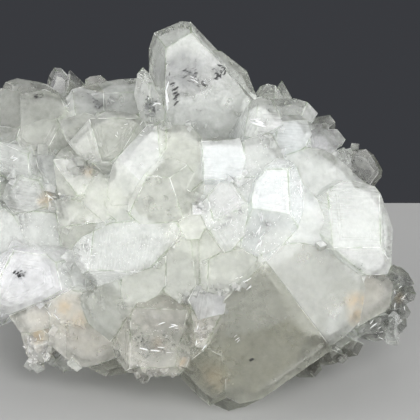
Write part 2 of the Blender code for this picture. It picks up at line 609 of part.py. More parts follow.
def tidy(mesh):
    """Cut the underside flat, drop slivers and keep the one outer shell."""
    everything = mesh.verts[:] + mesh.edges[:] + mesh.faces[:]
    cut = bmesh.ops.bisect_plane(mesh, geom=everything, dist=CUT_GAP * MM, plane_co=(0.0, 0.0, 0.0),
                                 plane_no=(0.0, 0.0, -1.0), clear_outer=True)
    rim = [item for item in cut["geom_cut"] if isinstance(item, bmesh.types.BMEdge)]
    bmesh.ops.holes_fill(mesh, edges=rim, sides=0)
    bmesh.ops.remove_doubles(mesh, verts=mesh.verts, dist=JOIN_GAP)
    bmesh.ops.dissolve_degenerate(mesh, edges=mesh.edges, dist=JOIN_GAP)
    groups = sorted(shells(mesh), key=len)
    for group in groups[:-1]:
        bmesh.ops.delete(mesh, geom=group, context="FACES")
    bmesh.ops.triangulate(mesh, faces=mesh.faces)
    bmesh.ops.recalc_face_normals(mesh, faces=mesh.faces)


def crystal_material():
    material = bpy.data.materials.new("apophyllite")
    material.use_nodes = True
    shader = material.node_tree.nodes["Principled BSDF"]
    shader.inputs["Base Color"].default_value = CRYSTAL_COLOUR
    shader.inputs["Roughness"].default_value = CRYSTAL_ROUGHNESS
    shader.inputs["IOR"].default_value = CRYSTAL_IOR
    return material


def build():
    for old in list(bpy.data.objects):
        bpy.data.objects.remove(old)
    store = bpy.data.collections.new("crystals")
    bpy.context.scene.collection.children.link(store)
    for name, length, outline, faces in SHOW_CRYSTALS:
        convex_solid(name, outlined_planes(name, length, outline, faces), store)
    for number, planes in enumerate(list(grown_crystals()) + list(foot_crystals())):
        convex_solid("grown_%03d" % number, planes, store)
    convex_solid("foot", foot_planes(), store)
    body = convex_solid("root_mass", root_planes(), bpy.context.scene.collection)

    joined = join(body, store)
    tidy(joined)
    data = bpy.data.meshes.new("apophyllite_cluster")
    joined.to_mesh(data)
    joined.free()
    data.materials.append(crystal_material())
    cluster = bpy.data.objects.new("apophyllite_cluster", data)
    bpy.context.scene.collection.objects.link(cluster)
    for piece in list(store.objects) + [body]:
        bpy.data.objects.remove(piece)
    bpy.data.collections.remove(store)


build()
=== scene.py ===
"""Looks of an apophyllite cluster: clear and milky crystals grown together on one root.

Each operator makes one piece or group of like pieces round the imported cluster. Units are metres,
+Z is up, the show side faces -Y. Places on the show side are sighted, as (across, down) steps of a
view from in front and a little above, and then dropped on the crystals.
"""

import json
import math
import random

import bmesh
import bpy
from mathutils import Matrix, Vector
from mathutils.bvhtree import BVHTree

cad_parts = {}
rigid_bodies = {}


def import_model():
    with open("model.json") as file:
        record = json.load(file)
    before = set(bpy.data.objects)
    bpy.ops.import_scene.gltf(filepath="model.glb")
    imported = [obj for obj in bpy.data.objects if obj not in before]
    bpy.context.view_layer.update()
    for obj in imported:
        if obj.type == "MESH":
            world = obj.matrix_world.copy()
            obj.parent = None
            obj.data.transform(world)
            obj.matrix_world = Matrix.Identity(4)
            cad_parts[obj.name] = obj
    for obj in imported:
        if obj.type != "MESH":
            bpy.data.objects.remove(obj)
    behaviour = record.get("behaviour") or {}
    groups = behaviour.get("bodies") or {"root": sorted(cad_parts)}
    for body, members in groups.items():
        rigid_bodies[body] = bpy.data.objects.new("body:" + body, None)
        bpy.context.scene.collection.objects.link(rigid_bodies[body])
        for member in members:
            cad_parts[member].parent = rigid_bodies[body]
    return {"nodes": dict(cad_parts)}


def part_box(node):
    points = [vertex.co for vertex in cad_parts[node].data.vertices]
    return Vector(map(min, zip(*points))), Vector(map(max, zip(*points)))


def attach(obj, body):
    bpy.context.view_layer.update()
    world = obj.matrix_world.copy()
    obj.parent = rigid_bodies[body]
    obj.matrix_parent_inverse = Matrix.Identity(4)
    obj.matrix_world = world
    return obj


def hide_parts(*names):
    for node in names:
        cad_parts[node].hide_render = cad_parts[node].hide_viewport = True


bl_info = {
    "name": "Apophyllite cluster",
    "version": (1, 0, 0),
    "blender": (4, 5, 0),
    "location": "View3D > Sidebar > Cluster",
    "description": "Models and finishes an apophyllite crystal cluster",
    "category": "Object",
}

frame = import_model()
CLUSTER = "apophyllite_cluster"
CLUSTER_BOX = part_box(CLUSTER)
CLUSTER_MESH = frame["nodes"][CLUSTER].data
MM = 0.001

# What is scattered has its own seeds, so that every run gives the same cluster
WEAR_SEED = 19
PLATE_SEED = 23
DRUSE_SEED = 7
VEIL_SEED = 5
RAGGED_SEED = 3
DARK_SEED = 11
BRIGHT_SEED = 13

# The view that the show side is sighted in
SIGHT_STEP = 0.25 * MM
SIGHT_CENTRE = 210.0
SIGHT_RISE = math.radians(22.0)
SIGHT_DISTANCE = 600.0 * MM
SIGHT_TARGET = Vector((0.0, -4.5 * MM, 35.5 * MM))
SENSOR = 36.0
VIEW_WIDTH = 105.0 * MM
CAMERA_NEAR = 10.0 * MM

# What the properties of one kind share
LENGTH = {"precision": 5, "subtype": "DISTANCE", "unit": "LENGTH"}
COLOUR = {"min": 0.0, "max": 1.0, "size": 4, "subtype": "COLOR"}


class ClusterLooks(bpy.types.PropertyGroup):
    """Sizes, numbers and colours of the cluster"""
    worn_least: bpy.props.FloatProperty(
        name="Least wear", description="Width of the least worn crystal edges",
        default=0.05 * MM, min=0.01 * MM, max=0.5 * MM, **LENGTH)
    worn_most: bpy.props.FloatProperty(
        name="Most wear", description="Width of the most worn crystal edges",
        default=0.20 * MM, min=0.01 * MM, max=0.5 * MM, **LENGTH)
    plate_height: bpy.props.FloatProperty(
        name="Plate height", description="Height of the tallest growth plates on the large facets",
        default=0.15 * MM, min=0.02 * MM, max=0.3 * MM, **LENGTH)
    heart_depth: bpy.props.FloatProperty(
        name="Heart depth", description="How far the milky heart lies under the crystals' faces",
        default=1.6 * MM, min=0.2 * MM, max=4.0 * MM, **LENGTH)
    heart_glow: bpy.props.FloatProperty(
        name="Heart glow", description="How far light spreads inside the milky heart",
        default=3.0 * MM, min=0.1 * MM, max=10.0 * MM, **LENGTH)
    seam_crystals: bpy.props.IntProperty(
        name="Seam crystals", description="Number of small crystals in the seams between the large ones",
        default=520, min=1, max=2000)
    healed_cracks: bpy.props.IntProperty(
        name="Healed cracks", description="Number of shining cracks inside the crystals",
        default=150, min=1, max=400)
    crystal_depth: bpy.props.FloatProperty(
        name="Colour depth", description="How strongly thick crystal is coloured, per metre",
        default=14.0, min=0.0, max=200.0)
    crystal_colour: bpy.props.FloatVectorProperty(
        name="Crystal colour", description="Colour that thick crystal gives to light",
        default=(0.92, 0.95, 0.88, 1.0), **COLOUR)
    peach: bpy.props.FloatVectorProperty(
        name="Peach stain", description="Colour of the warm stains",
        default=(0.93, 0.73, 0.50, 1.0), **COLOUR)
    lead: bpy.props.FloatVectorProperty(
        name="Lead stain", description="Colour of the gray stains round the dark flakes",
        default=(0.20, 0.21, 0.23, 1.0), **COLOUR)
    flake_colour: bpy.props.FloatVectorProperty(
        name="Flake colour", description="Colour of the dark flakes",
        default=(0.012, 0.012, 0.014, 1.0), **COLOUR)
    floor_colour: bpy.props.FloatVectorProperty(
        name="Floor colour", description="Colour of the plain floor",
        default=(0.58, 0.58, 0.57, 1.0), **COLOUR)
    backdrop_colour: bpy.props.FloatVectorProperty(
        name="Backdrop colour", description="Colour of the plain surroundings",
        default=(0.042, 0.044, 0.050, 1.0), **COLOUR)


def sight_axes():
    """Right, up and toward the viewer."""
    right = Vector((1.0, 0.0, 0.0))
    up = Vector((0.0, math.sin(SIGHT_RISE), math.cos(SIGHT_RISE)))
    toward = Vector((0.0, -math.cos(SIGHT_RISE), math.sin(SIGHT_RISE)))
    return right, up, toward


RIGHT, UP, TOWARD = sight_axes()
EYE = SIGHT_TARGET + TOWARD * SIGHT_DISTANCE


def sight_direction(across, down):
    """Direction from the eye through one sighted point."""
    return (RIGHT * (across - SIGHT_CENTRE) * SIGHT_STEP + UP * (SIGHT_CENTRE - down) * SIGHT_STEP
            - TOWARD * SIGHT_DISTANCE).normalized()


class Socket:
    """A shader socket that Python's operators work on."""

    def __init__(self, tree, socket):
        self.tree = tree
        self.socket = socket

    def maths(self, operation, *values, clamp=False):
        settings = {"operation": operation, "use_clamp": clamp}
        return self.tree.add("ShaderNodeMath", settings, dict(enumerate(values)))

    def __add__(self, other):
        return self.maths("ADD", self, other)

    __radd__ = __add__

    def __mul__(self, other):
        return self.maths("MULTIPLY", self, other)

    __rmul__ = __mul__

    def __sub__(self, other):
        return self.maths("SUBTRACT", self, other)

    def __rsub__(self, other):
        return self.maths("SUBTRACT", other, self)

    def clamped(self):
        return self.maths("ADD", self, 0.0, clamp=True)

    def most(self, other):
        return self.maths("MAXIMUM", self, other)

    def ramp(self, low, high, start=0.0, end=1.0):
        """Smooth step from start to end as this goes from low to high."""
        settings = {"interpolation_type": "SMOOTHSTEP"}
        names = {"Value": self, "From Min": low, "From Max": high, "To Min": start, "To Max": end}
        return self.tree.add("ShaderNodeMapRange", settings, names)


class Nodes:
    """A material's node tree with one method that adds any node."""

    def __init__(self, name):
        self.material = bpy.data.materials.new(name)
        self.material.use_nodes = True
        self.tree = self.material.node_tree
        self.tree.nodes.clear()

    def add(self, kind, settings=None, values=None, out=0):
        node = self.tree.nodes.new(kind)
        for key, value in (settings or {}).items():
            setattr(node, key, value)
        for key, value in (values or {}).items():
            target = node.inputs[key]
            if isinstance(value, Socket):
                self.tree.links.new(value.socket, target)
            else:
                target.default_value = value
        return Socket(self, node.outputs[out])

    def place(self):
        return self.add("ShaderNodeTexCoord", out="Object")

    def attribute(self, name, out="Fac"):
        return self.add("ShaderNodeAttribute", {"attribute_name": name}, out=out)

    def stretched(self, vector, scale):
        return self.add("ShaderNodeMapping", None, {"Vector": vector, "Scale": scale})

    def noise(self, vector, size, detail=3.0, rough=0.55, warp=0.0):
        """Noise of a size in metres."""
        return self.add("ShaderNodeTexNoise", None, {
            "Vector": vector, "Scale": 1.0 / size, "Detail": detail, "Roughness": rough, "Distortion": warp})

    def dots(self, vector, size):
        """Distance from the nearest of many points, a size in metres apart."""
        values = {"Vector": vector, "Scale": 1.0 / size}
        return self.add("ShaderNodeTexVoronoi", None, values, out="Distance")

    def mix(self, share, one, other, blend="MIX"):
        return self.add("ShaderNodeMix", {"data_type": "RGBA", "blend_type": blend},
                        {"Factor": share, "A": one, "B": other}, out="Result")

    def shaded(self, colour, shade):
        """A colour made darker by a number."""
        gray = self.add("ShaderNodeCombineColor", None, {"Red": shade, "Green": shade, "Blue": shade})
        return self.mix(1.0, colour, gray, "MULTIPLY")

    def bump(self, height, distance, strength=1.0, normal=None):
        values = {"Height": height, "Distance": distance, "Strength": strength}
        if normal is not None:
            values["Normal"] = normal
        return self.add("ShaderNodeBump", None, values)

    def principled(self, values):
        return self.add("ShaderNodeBsdfPrincipled", None, values)

    def mix_shader(self, share, one, other):
        return self.add("ShaderNodeMixShader", None, {0: share, 1: one, 2: other})

    def finish(self, surface, volume=None):
        values = {"Surface": surface}
        if volume is not None:
            values["Volume"] = volume
        output = self.tree.nodes.new("ShaderNodeOutputMaterial")
        for key, value in values.items():
            self.tree.links.new(value.socket, output.inputs[key])
        return self.material


# Corners this near to each other are merged, and facets this flat to each other are one
MERGE_GAP = 0.001 * MM
FLAT_ANGLE = math.radians(1.0)


def select_only(thing):
    bpy.ops.object.select_all(action="DESELECT")
    thing.select_set(True)
    bpy.context.view_layer.objects.active = thing


def cluster_copy(name):
    """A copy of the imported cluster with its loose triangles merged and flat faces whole."""
    mesh = CLUSTER_MESH.copy()
    mesh.materials.clear()
    piece = bpy.data.objects.new(name, mesh)
    bpy.context.scene.collection.objects.link(piece)
    select_only(piece)
    bpy.ops.object.mode_set(mode="EDIT")
    bpy.ops.mesh.select_all(action="SELECT")
    bpy.ops.mesh.remove_doubles(threshold=MERGE_GAP)
    bpy.ops.mesh.dissolve_limited(angle_limit=FLAT_ANGLE)
    bpy.ops.object.mode_set(mode="OBJECT")
    return piece


def apply_modifiers(piece):
    select_only(piece)
    for modifier in list(piece.modifiers):
        bpy.ops.object.modifier_apply(modifier=modifier.name)


def place_copy(model, matrix):
    """A copy of a model with its own mesh, put in its place."""
    copy = model.copy()
    copy.data = model.data.copy()
    copy.data.transform(matrix)
    bpy.context.scene.collection.objects.link(copy)
    return copy


def join_copies(copies, name):
    bpy.ops.object.select_all(action="DESELECT")
    for copy in copies:
        copy.select_set(True)
    bpy.context.view_layer.objects.active = copies[0]
    bpy.ops.object.join()
    piece = bpy.context.object
    piece.name = name
    piece.data.materials.clear()
    return piece


def leaning(outward, lean, chance):
    """A direction that leans at random from another."""
    return (outward + Vector([chance.uniform(-lean, lean) for _ in range(3)])).normalized()


def turned_along(axis):
    """The turn that lays a model's Z axis along a direction."""
    return axis.to_track_quat("Z", "Y").to_matrix().to_4x4()


# Zones of the show side: name, middle as (across, down), reach in sight steps, tone, milkiness, tint.
# Tone is how light the milk is, milkiness how much of it hides what lies behind. Tone is partly the
# crystals' own whiteness and partly painted light and shade: painted shade on the undersides, the great
# left faces and the upper left, painted highlight in the brightest zones, and the dark backdrop painted
# into the gray clear crystals.
ZONES = [
    ("crown tip", 185, 38, 26, 0.84, 0.50, "clear"),
    ("crown middle", 190, 75, 24, 0.72, 0.45, "lilac"),
    ("crown foot", 205, 120, 34, 0.84, 0.62, "white"),
    ("crown flank", 240, 74, 18, 0.84, 0.45, "clear"),
    ("crown side", 148, 100, 18, 0.82, 0.45, "clear"),
    ("skyline far left", 26, 88, 18, 0.52, 0.40, "green"),
    # Gray clear crystals: their low tone and gray tint paint in the dark backdrop seen through them
    ("skyline smoky", 58, 79, 12, 0.10, 0.08, "painted_darkness"),
    ("skyline point", 74, 83, 12, 0.26, 0.14, "painted_darkness"),
    ("skyline yellow", 96, 82, 12, 0.60, 0.30, "straw"),
    ("skyline left lump", 86, 103, 18, 0.80, 0.50, "clear"),
    ("skyline flat", 121, 95, 20, 0.80, 0.60, "clear"),
    # Upper left: lower tone, painted shade where less light reaches
    ("upper left edge", 6, 112, 18, 0.66, 0.62, "green"),
    ("upper left", 40, 108, 20, 0.66, 0.62, "green"),
    ("upper left lower", 42, 136, 22, 0.76, 0.70, "green"),
    ("upper left inner", 76, 126, 18, 0.82, 0.70, "green"),
    ("left upper", 16, 160, 20, 0.90, 0.60, "white"),
    ("left pair", 50, 168, 18, 0.90, 0.62, "white"),
    ("left ridge", 73, 174, 18, 0.91, 0.66, "green"),
    ("left button", 27, 194, 16, 0.94, 0.62, "white"),
    ("left bright edge", 8, 233, 18, 1.00, 0.97, "white"),
    ("left hollow", 41, 232, 22, 0.99, 0.74, "white"),
    ("left ledge", 76, 222, 20, 0.91, 0.72, "green"),
    ("left block", 28, 279, 36, 0.99, 0.72, "lilac"),
    ("left low face", 76, 273, 18, 1.00, 0.97, "white"),
    ("upper middle", 107, 137, 28, 0.90, 0.55, "green"),
    ("middle upper", 138, 164, 26, 1.00, 0.74, "white"),
    ("middle under crown", 186, 148, 22, 0.95, 0.70, "green"),
    ("middle clear", 165, 190, 30, 0.97, 0.52, "green"),
    ("middle left", 100, 200, 20, 1.00, 0.85, "green"),
    ("middle lower", 195, 236, 24, 1.00, 0.76, "green"),
    ("striped face", 122, 249, 36, 0.94, 0.74, "white"),
    ("middle foot left", 141, 285, 20, 0.90, 0.62, "green"),
    ("middle foot", 182, 270, 26, 0.88, 0.60, "green"),
    ("slab", 222, 158, 24, 0.88, 0.84, "ice"),
    ("speckled", 226, 214, 28, 1.00, 0.95, "white"),
    ("column", 227, 270, 22, 0.90, 0.64, "green"),
    ("bright", 273, 208, 38, 0.94, 0.86, "ice"),
    ("between slab and bright", 245, 186, 13, 1.00, 0.97, "white"),
    ("bright lower", 278, 240, 20, 0.99, 0.86, "white"),
    ("right of crown", 261, 150, 20, 1.00, 0.85, "white"),
    ("right notch", 311, 226, 18, 1.00, 0.80, "white"),
    # Right flash: full tone, partly a painted highlight
    ("right flash", 260, 116, 18, 1.00, 0.90, "white"),
    ("right skyline clear", 272, 92, 14, 0.62, 0.22, "clear"),
    ("right shoulder", 295, 108, 16, 0.82, 0.50, "clear"),
    ("right upper", 292, 136, 20, 1.00, 0.85, "ice"),
    ("right lilac", 324, 141, 15, 0.84, 0.62, "lilac"),
    # Right chips: low tone and gray tint paint in the dark backdrop seen through them
    ("right chips", 331, 126, 10, 0.30, 0.10, "painted_darkness"),
    ("right glints", 344, 158, 10, 0.95, 0.45, "clear"),
    # Smoky: low tone and gray tint paint in the dark backdrop seen through this clear crystal
    ("smoky", 367, 168, 20, 0.10, 0.08, "painted_darkness"),
    ("right gray face", 320, 172, 26, 0.96, 0.74, "white"),
    ("right block", 358, 224, 44, 0.92, 0.92, "white"),
    ("right block band", 352, 262, 20, 1.00, 0.95, "white"),
    ("right low face", 377, 297, 22, 0.80, 0.55, "peach"),
    # Great left: dark tone, partly painted shade on faces that turn down
    ("great left upper", 255, 310, 30, 0.60, 0.72, "green"),
    ("great left", 268, 350, 34, 0.48, 0.66, "olive"),
    ("great left corner", 215, 370, 26, 0.54, 0.62, "olive"),
    ("great right", 318, 285, 40, 0.70, 0.80, "green"),
    ("great right end", 345, 320, 20, 0.80, 0.74, "white"),
    ("window", 156, 340, 40, 0.88, 0.32, "peach"),
    ("window side", 205, 330, 16, 0.82, 0.45, "peach"),
    ("low left", 104, 309, 22, 0.80, 0.48, "green"),
    ("low peach", 67, 314, 20, 0.98, 0.68, "peach"),
    ("low middle", 84, 347, 22, 0.82, 0.52, "peach"),
    ("low edge", 33, 332, 24, 1.00, 0.88, "peach"),
    ("low edge fringe", 66, 366, 18, 0.92, 0.50, "green"),
    # Undersides: low tone, painted shade under the cluster
    ("underside left", 108, 370, 18, 0.42, 0.40, "olive"),
    ("underside tip", 232, 402, 16, 0.14, 0.40, "olive"),
    ("underside right end", 350, 350, 14, 0.22, 0.35, "olive"),
    ("underside middle", 200, 384, 24, 0.44, 0.45, "olive"),
    ("underside right", 318, 366, 26, 0.24, 0.40, "olive"),
    # Far right: low tone paints in the dark backdrop seen through the clear crystals
    ("far right", 400, 292, 24, 0.40, 0.08, "clear"),
    ("far right low", 386, 328, 22, 0.38, 0.12, "clear"),
]
# A facet has no zone where it faces away, lies far back, or is out of reach of them all
ZONE_FACING = -0.05
ZONE_NEARNESS = -12.0 * MM
ZONE_REACH = 1.4
# Zones whose facets are drawn with growth lines, and those that are etched white, with painted glints in the
# etching
LINED_ZONES = ("slab", "striped face", "left button", "left upper", "right upper", "right block",
               "right flash", "bright")
ETCHED_ZONES = ("speckled", "bright", "bright lower", "right of crown", "left hollow", "left low face",
                "window", "low edge", "striped face", "right glints", "between slab and bright")
# Facets without a zone start from this one, and chance changes their tone, milkiness and tint
PLAIN_ZONE = ("plain", 0, 0, 0, 0.88, 0.6, "green")
PLAIN_TONES = (-0.1, 0.1)
PLAIN_MILKINESS = (-0.3, 0.2)
PLAIN_TINTS = ("white", "green", "clear", "green", "lilac")
# How much tone and milkiness change from facet to facet, and the limits of milkiness
TONE_VARIES = (0.86, 1.06)
MILK_VARIES = (-0.10, 0.10)
MILK_LEAST = 0.05
MILK_MOST = 0.97
# Facets whose normals and heights agree to these steps are parts of one flat face
NORMAL_STEPS = 50
HEIGHT_STEP = 0.3 * MM
# Colours of the milk
TINTS = {
    "white": (0.950, 0.966, 0.946), "ice": (0.940, 0.966, 0.966), "green": (0.940, 0.953, 0.902),
    "clear": (0.932, 0.948, 0.925), "lilac": (0.945, 0.946, 0.960), "painted_darkness": (0.890, 0.888, 0.875),
    "straw": (0.945, 0.945, 0.830), "olive": (0.930, 0.925, 0.800), "peach": (0.970, 0.945, 0.885),
}


def sighted(point):
    """(across, down, nearness) of a point of the model."""
    offset = point - EYE
    distance = -offset.dot(TOWARD)
    scale = SIGHT_DISTANCE / distance / SIGHT_STEP
    across = SIGHT_CENTRE + offset.dot(RIGHT) * scale
    down = SIGHT_CENTRE - offset.dot(UP) * scale
    return across, down, SIGHT_DISTANCE - distance


def zone_at(point, outward):
    """The zone that a facet lies in, or nothing."""
    across, down, nearness = sighted(point)
    if outward.dot(TOWARD) < ZONE_FACING or nearness < ZONE_NEARNESS:
        return None

    def away(zone):
        return math.hypot(zone[1] - across, zone[2] - down) / zone[3]

    best = min(ZONES, key=away)
    return None if away(best) > ZONE_REACH else best


def new_attributes(mesh, domain, names):
    """The data of new attributes: a colour for the tint and a number for each of the others."""
    for name in names:
        mesh.attributes.new(name, "FLOAT_COLOR" if name == "tint" else "FLOAT", domain)
    return [mesh.attributes[name].data for name in names]


def plane_key(face):
    """Facets of one flat face share this key, also where another crystal parts them."""
    height = face.normal.dot(face.center)
    return tuple(round(part * NORMAL_STEPS) for part in face.normal) + (round(height / HEIGHT_STEP),)


def colour_facets(piece, milkier=1.0):
    """Give each facet its own tone, milkiness, tint, growth lines, and etching with painted glints."""
    mesh = piece.data
    names = ("tone_and_shade", "milk", "lined", "etched_and_glinting", "tint")
    tone_and_shade, milk, lined, etched_and_glinting, tint = new_attributes(mesh, "FACE", names)
    for face in mesh.polygons:
        chance = random.Random(hash(plane_key(face)))
        name, _, _, _, light, milky, colour = zone_at(face.center, face.normal) or PLAIN_ZONE
        lines, etching_and_glints = float(name in LINED_ZONES), float(name in ETCHED_ZONES)
        if name == "plain":
            light += chance.uniform(*PLAIN_TONES)
            milky += chance.uniform(*PLAIN_MILKINESS)
            lines, etching_and_glints = chance.random(), chance.random()
            colour = chance.choice(PLAIN_TINTS)
        # Tone carries the zone's painted light and shade besides its whiteness
        tone_and_shade[face.index].value = min(1.0, light * chance.uniform(*TONE_VARIES))
        milky = min(MILK_MOST, max(MILK_LEAST, milky + chance.uniform(*MILK_VARIES)))
        milk[face.index].value = milkier * milky
        lined[face.index].value = lines
        etched_and_glinting[face.index].value = etching_and_glints
        tint[face.index].color = TINTS[colour] + (1.0,)


# Stains: across, down, reach in sight steps, strength, colour
STAINS = [
    (46, 200, 13, 0.8, "peach"), (88, 172, 8, 0.8, "peach"), (64, 308, 12, 0.8, "peach"),
    (80, 320, 14, 0.5, "peach"), (38, 336, 12, 0.9, "peach"), (361, 300, 13, 1.0, "peach"),
    (356, 302, 15, 0.9, "peach"), (357, 316, 14, 0.9, "peach"),
    (158, 344, 12, 0.7, "peach"), (182, 362, 8, 0.8, "peach"), (398, 298, 10, 0.6, "peach"),
    (214, 378, 22, 0.3, "peach"), (171, 76, 15, 0.7, "lead"), (174, 65, 15, 0.8, "lead"),
    (184, 58, 14, 0.8, "lead"), (196, 64, 12, 0.7, "lead"), (188, 74, 22, 0.9, "lead"),
    (218, 73, 10, 0.7, "lead"), (150, 106, 12, 0.7, "lead"), (100, 103, 12, 0.6, "lead"),
    (90, 98, 10, 0.6, "lead"), (19, 275, 9, 0.5, "lead"), (50, 265, 12, 0.3, "lead"),
    (150, 200, 7, 0.5, "lead"), (148, 180, 6, 0.5, "lead"), (267, 155, 6, 0.4, "lead"),
    (357, 268, 9, 0.4, "lead"), (155, 345, 20, 0.4, "lead"),
]
# How much of the stains the clear part of the crystals shows
GLASS_STAIN = 0.45
# Colours of frost, whose white specks are partly painted glints, of worn edges, whiter as a painted
# highlight, and of the darkest clear crystals, a painted dark gray that stands for shade on the
# undersides and for the dark backdrop seen through the gray clear crystals
WHITE = (1.0, 1.0, 1.0, 1.0)
FROST_AND_GLINT_WHITE = (1.0, 1.0, 0.99, 1.0)
EDGE_HIGHLIGHT_WHITE = (1.0, 1.0, 0.98, 1.0)
PAINTED_DARK_GRAY = (0.40, 0.40, 0.39, 1.0)
# How much the crystals, the milk inside them and their cracks bend light
CRYSTAL_IOR = 1.535
HEART_IOR = 1.1
VEIL_IOR = 1.6


def surface_tree(mesh):
    """A mesh's faces, ready to be searched."""
    return BVHTree.FromPolygons([vertex.co for vertex in mesh.vertices],
                                [face.vertices for face in mesh.polygons])


CRYSTALS_TREE = surface_tree(CLUSTER_MESH)


def on_crystals(across, down, tree=CRYSTALS_TREE):
    """The sighted point of the crystals' surface and the way that it faces, or nothing."""
    hit, normal, _, _ = tree.ray_cast(EYE, sight_direction(across, down))
    return hit, normal


def stain_shares(nodes, place, patchy):
    """How much each stain colour shows."""
    shares = {"peach": 0.0, "lead": 0.0}
    for across, down, reach, strength, colour in STAINS:
        distance = nodes.add("ShaderNodeVectorMath", {"operation": "DISTANCE"},
                             {0: place, 1: on_crystals(across, down)[0]}, out="Value")
        shares[colour] = distance.ramp(reach * SIGHT_STEP, 0.0, 0.0, strength).most(shares[colour])
    return {colour: share * patchy for colour, share in shares.items()}


def stained(nodes, base, shares, looks, weight=1.0):
    """Lay the stains over a colour."""
    for colour, share in shares.items():
        base = nodes.mix(share * weight, base, tuple(getattr(looks, colour)))
    return base


def crystal_finish(looks, edge=False):
    """Clear crystal with milk, stains, frost with painted glints and growth lines in it; on a worn edge more
    milky and whiter, a painted highlight.
    """
    nodes = Nodes("worn edge and painted highlight" if edge else "clear crystal")
    place = nodes.place()
    tone_and_shade = nodes.attribute("tone_and_shade")
    milkiness = nodes.attribute("milk")
    tint = nodes.attribute("tint", out="Color")
    cloud = nodes.noise(place, 9 * MM, 4.0, 0.6, 0.4)
    fine = nodes.noise(place, 1.6 * MM, 4.0, 0.65)
    # The zone's tone sets how light the milk is, partly painted light and shade
    shade = (tone_and_shade * (0.90 + 0.16 * cloud) * (0.95 + 0.10 * fine)).clamped()
    base = nodes.shaded(tint, shade)
    stains = stain_shares(nodes, place, 0.4 + 0.6 * fine.ramp(0.35, 0.6))
    base = stained(nodes, base, stains, looks)
    # Frost: white etched specks, partly painted glints
    frost_and_glints = nodes.noise(place, 0.5 * MM, 2.0).ramp(0.62, 0.70)
    frost_and_glints = frost_and_glints * nodes.noise(place, 6 * MM, 2.0).ramp(0.40, 0.52) * nodes.attribute("etched_and_glinting")
    base = nodes.mix(frost_and_glints * 0.8, base, FROST_AND_GLINT_WHITE)
    grain = nodes.add("ShaderNodeUVMap", {"uv_map": "grain"})
    lines = nodes.noise(nodes.stretched(grain, (0.07, 1.0, 1.0)), 0.45 * MM, 3.0, 0.6)
    lined = nodes.noise(place, 12 * MM, 1.0).ramp(0.36, 0.52) * nodes.attribute("lined")
    share = 0.42 + (cloud - 0.5) * 1.2 + (fine - 0.5) * 0.7 + frost_and_glints * 0.9 + (lines - 0.5) * lined * 0.9
    share = (milkiness * share).clamped()
    if edge:
        # Worn edge: milkier in patches and whiter, a painted highlight along the crystals' edges
        drawn = nodes.noise(place, 3.5 * MM, 2.0).ramp(0.44, 0.66)
        share = (share * 0.7 + drawn * 0.9).clamped()
        base = nodes.mix(0.4, base, EDGE_HIGHLIGHT_WHITE)
    waves = nodes.noise(place, 4.0 * MM, 2.0, 0.5)
    pits = nodes.noise(place, 0.7 * MM, 3.0, 0.6)
    dents = nodes.bump(waves, 0.12 * MM, 0.5)
    dents = nodes.bump(lines * lined, 0.08 * MM, 0.9, dents)
    normal = nodes.bump(pits, 0.02 * MM, 0.6, dents)
    rough = 0.06 + 0.16 * fine.ramp(0.4, 0.7)
    milk = nodes.principled({
        "Base Color": base, "Roughness": rough, "IOR": CRYSTAL_IOR, "Subsurface Weight": 1.0,
        "Subsurface Radius": (1.0, 1.0, 1.0), "Subsurface Scale": 1.0 * MM, "Normal": normal})
    # Low tone grays the clear glass: painted shade on the undersides, and the dark backdrop painted into the
    # gray clear crystals
    painted_darkness = nodes.mix(tone_and_shade.ramp(0.05, 0.75), PAINTED_DARK_GRAY, WHITE)
    water = nodes.mix(1.0, painted_darkness, nodes.mix(0.5, tint, WHITE), "MULTIPLY")
    glass = nodes.principled({
        "Base Color": stained(nodes, water, stains, looks, GLASS_STAIN), "Roughness": rough * 0.4,
        "IOR": CRYSTAL_IOR, "Transmission Weight": 1.0, "Normal": normal})
    lamp = nodes.add("ShaderNodeLightPath", out="Is Shadow Ray")
    through = nodes.add("ShaderNodeBsdfTransparent")
    glass = nodes.mix_shader(lamp, glass, through)
    surface = nodes.mix_shader(share, glass, milk)
    volume = nodes.add("ShaderNodeVolumeAbsorption", None,
                       {"Color": tuple(looks.crystal_colour), "Density": looks.crystal_depth})
    return nodes.finish(surface, volume)


def milk_finish(looks):
    """Cloudy milk that thins out to nothing where its zone is clear."""
    nodes = Nodes("milky heart")
    place = nodes.place()
    cloud = nodes.noise(place, 5 * MM, 5.0, 0.6)
    thin = nodes.attribute("thin")
    # The heart takes the zone's tone, with the same painted light and shade
    shade = nodes.attribute("tone_and_shade") * cloud.ramp(0.3, 0.7, 0.86, 0.99)
    base = nodes.shaded(nodes.attribute("tint", out="Color"), shade)
    base = stained(nodes, base, stain_shares(nodes, place, 0.6 + 0.4 * cloud), looks)
    milk = nodes.principled({
        "Base Color": base, "Roughness": 0.5, "IOR": HEART_IOR, "Subsurface Weight": 1.0,
        "Subsurface Radius": (1.0, 1.0, 1.0), "Subsurface Scale": looks.heart_glow})
    wisps = nodes.noise(place, 2.5 * MM, 5.0, 0.65, 1.0)
    gone = (thin * 1.5 + (wisps - 0.5) * 1.6 - 0.25).clamped()
    surface = nodes.mix_shader(gone, milk, nodes.add("ShaderNodeBsdfTransparent"))
    return nodes.finish(surface)


# Worn edges: the share of the room between a facet's sides that wear may take, how far past its width
# a corner may move, the least opening of a corner, and the angle past which an edge gets the whiter worn
# edge finish, a painted highlight
WORN_SHARE = 0.35
WORN_REACH = 3.0
WORN_OPENING = 0.2
WORN_ANGLE = math.radians(25.0)
# Growth plates: the distance from its middle to its sides that a facet needs to have any, and that
# each plate on it needs
PLATE_REACH = 1.5 * MM
PLATE_LEAST = 0.8 * MM
# Their distance from the cluster's box, the share of facets left bare, and how many lie on each other
PLATE_CLEAR = 0.8 * MM
PLATE_BARE = 0.25
PLATE_LAYERS = (1, 2, 3)
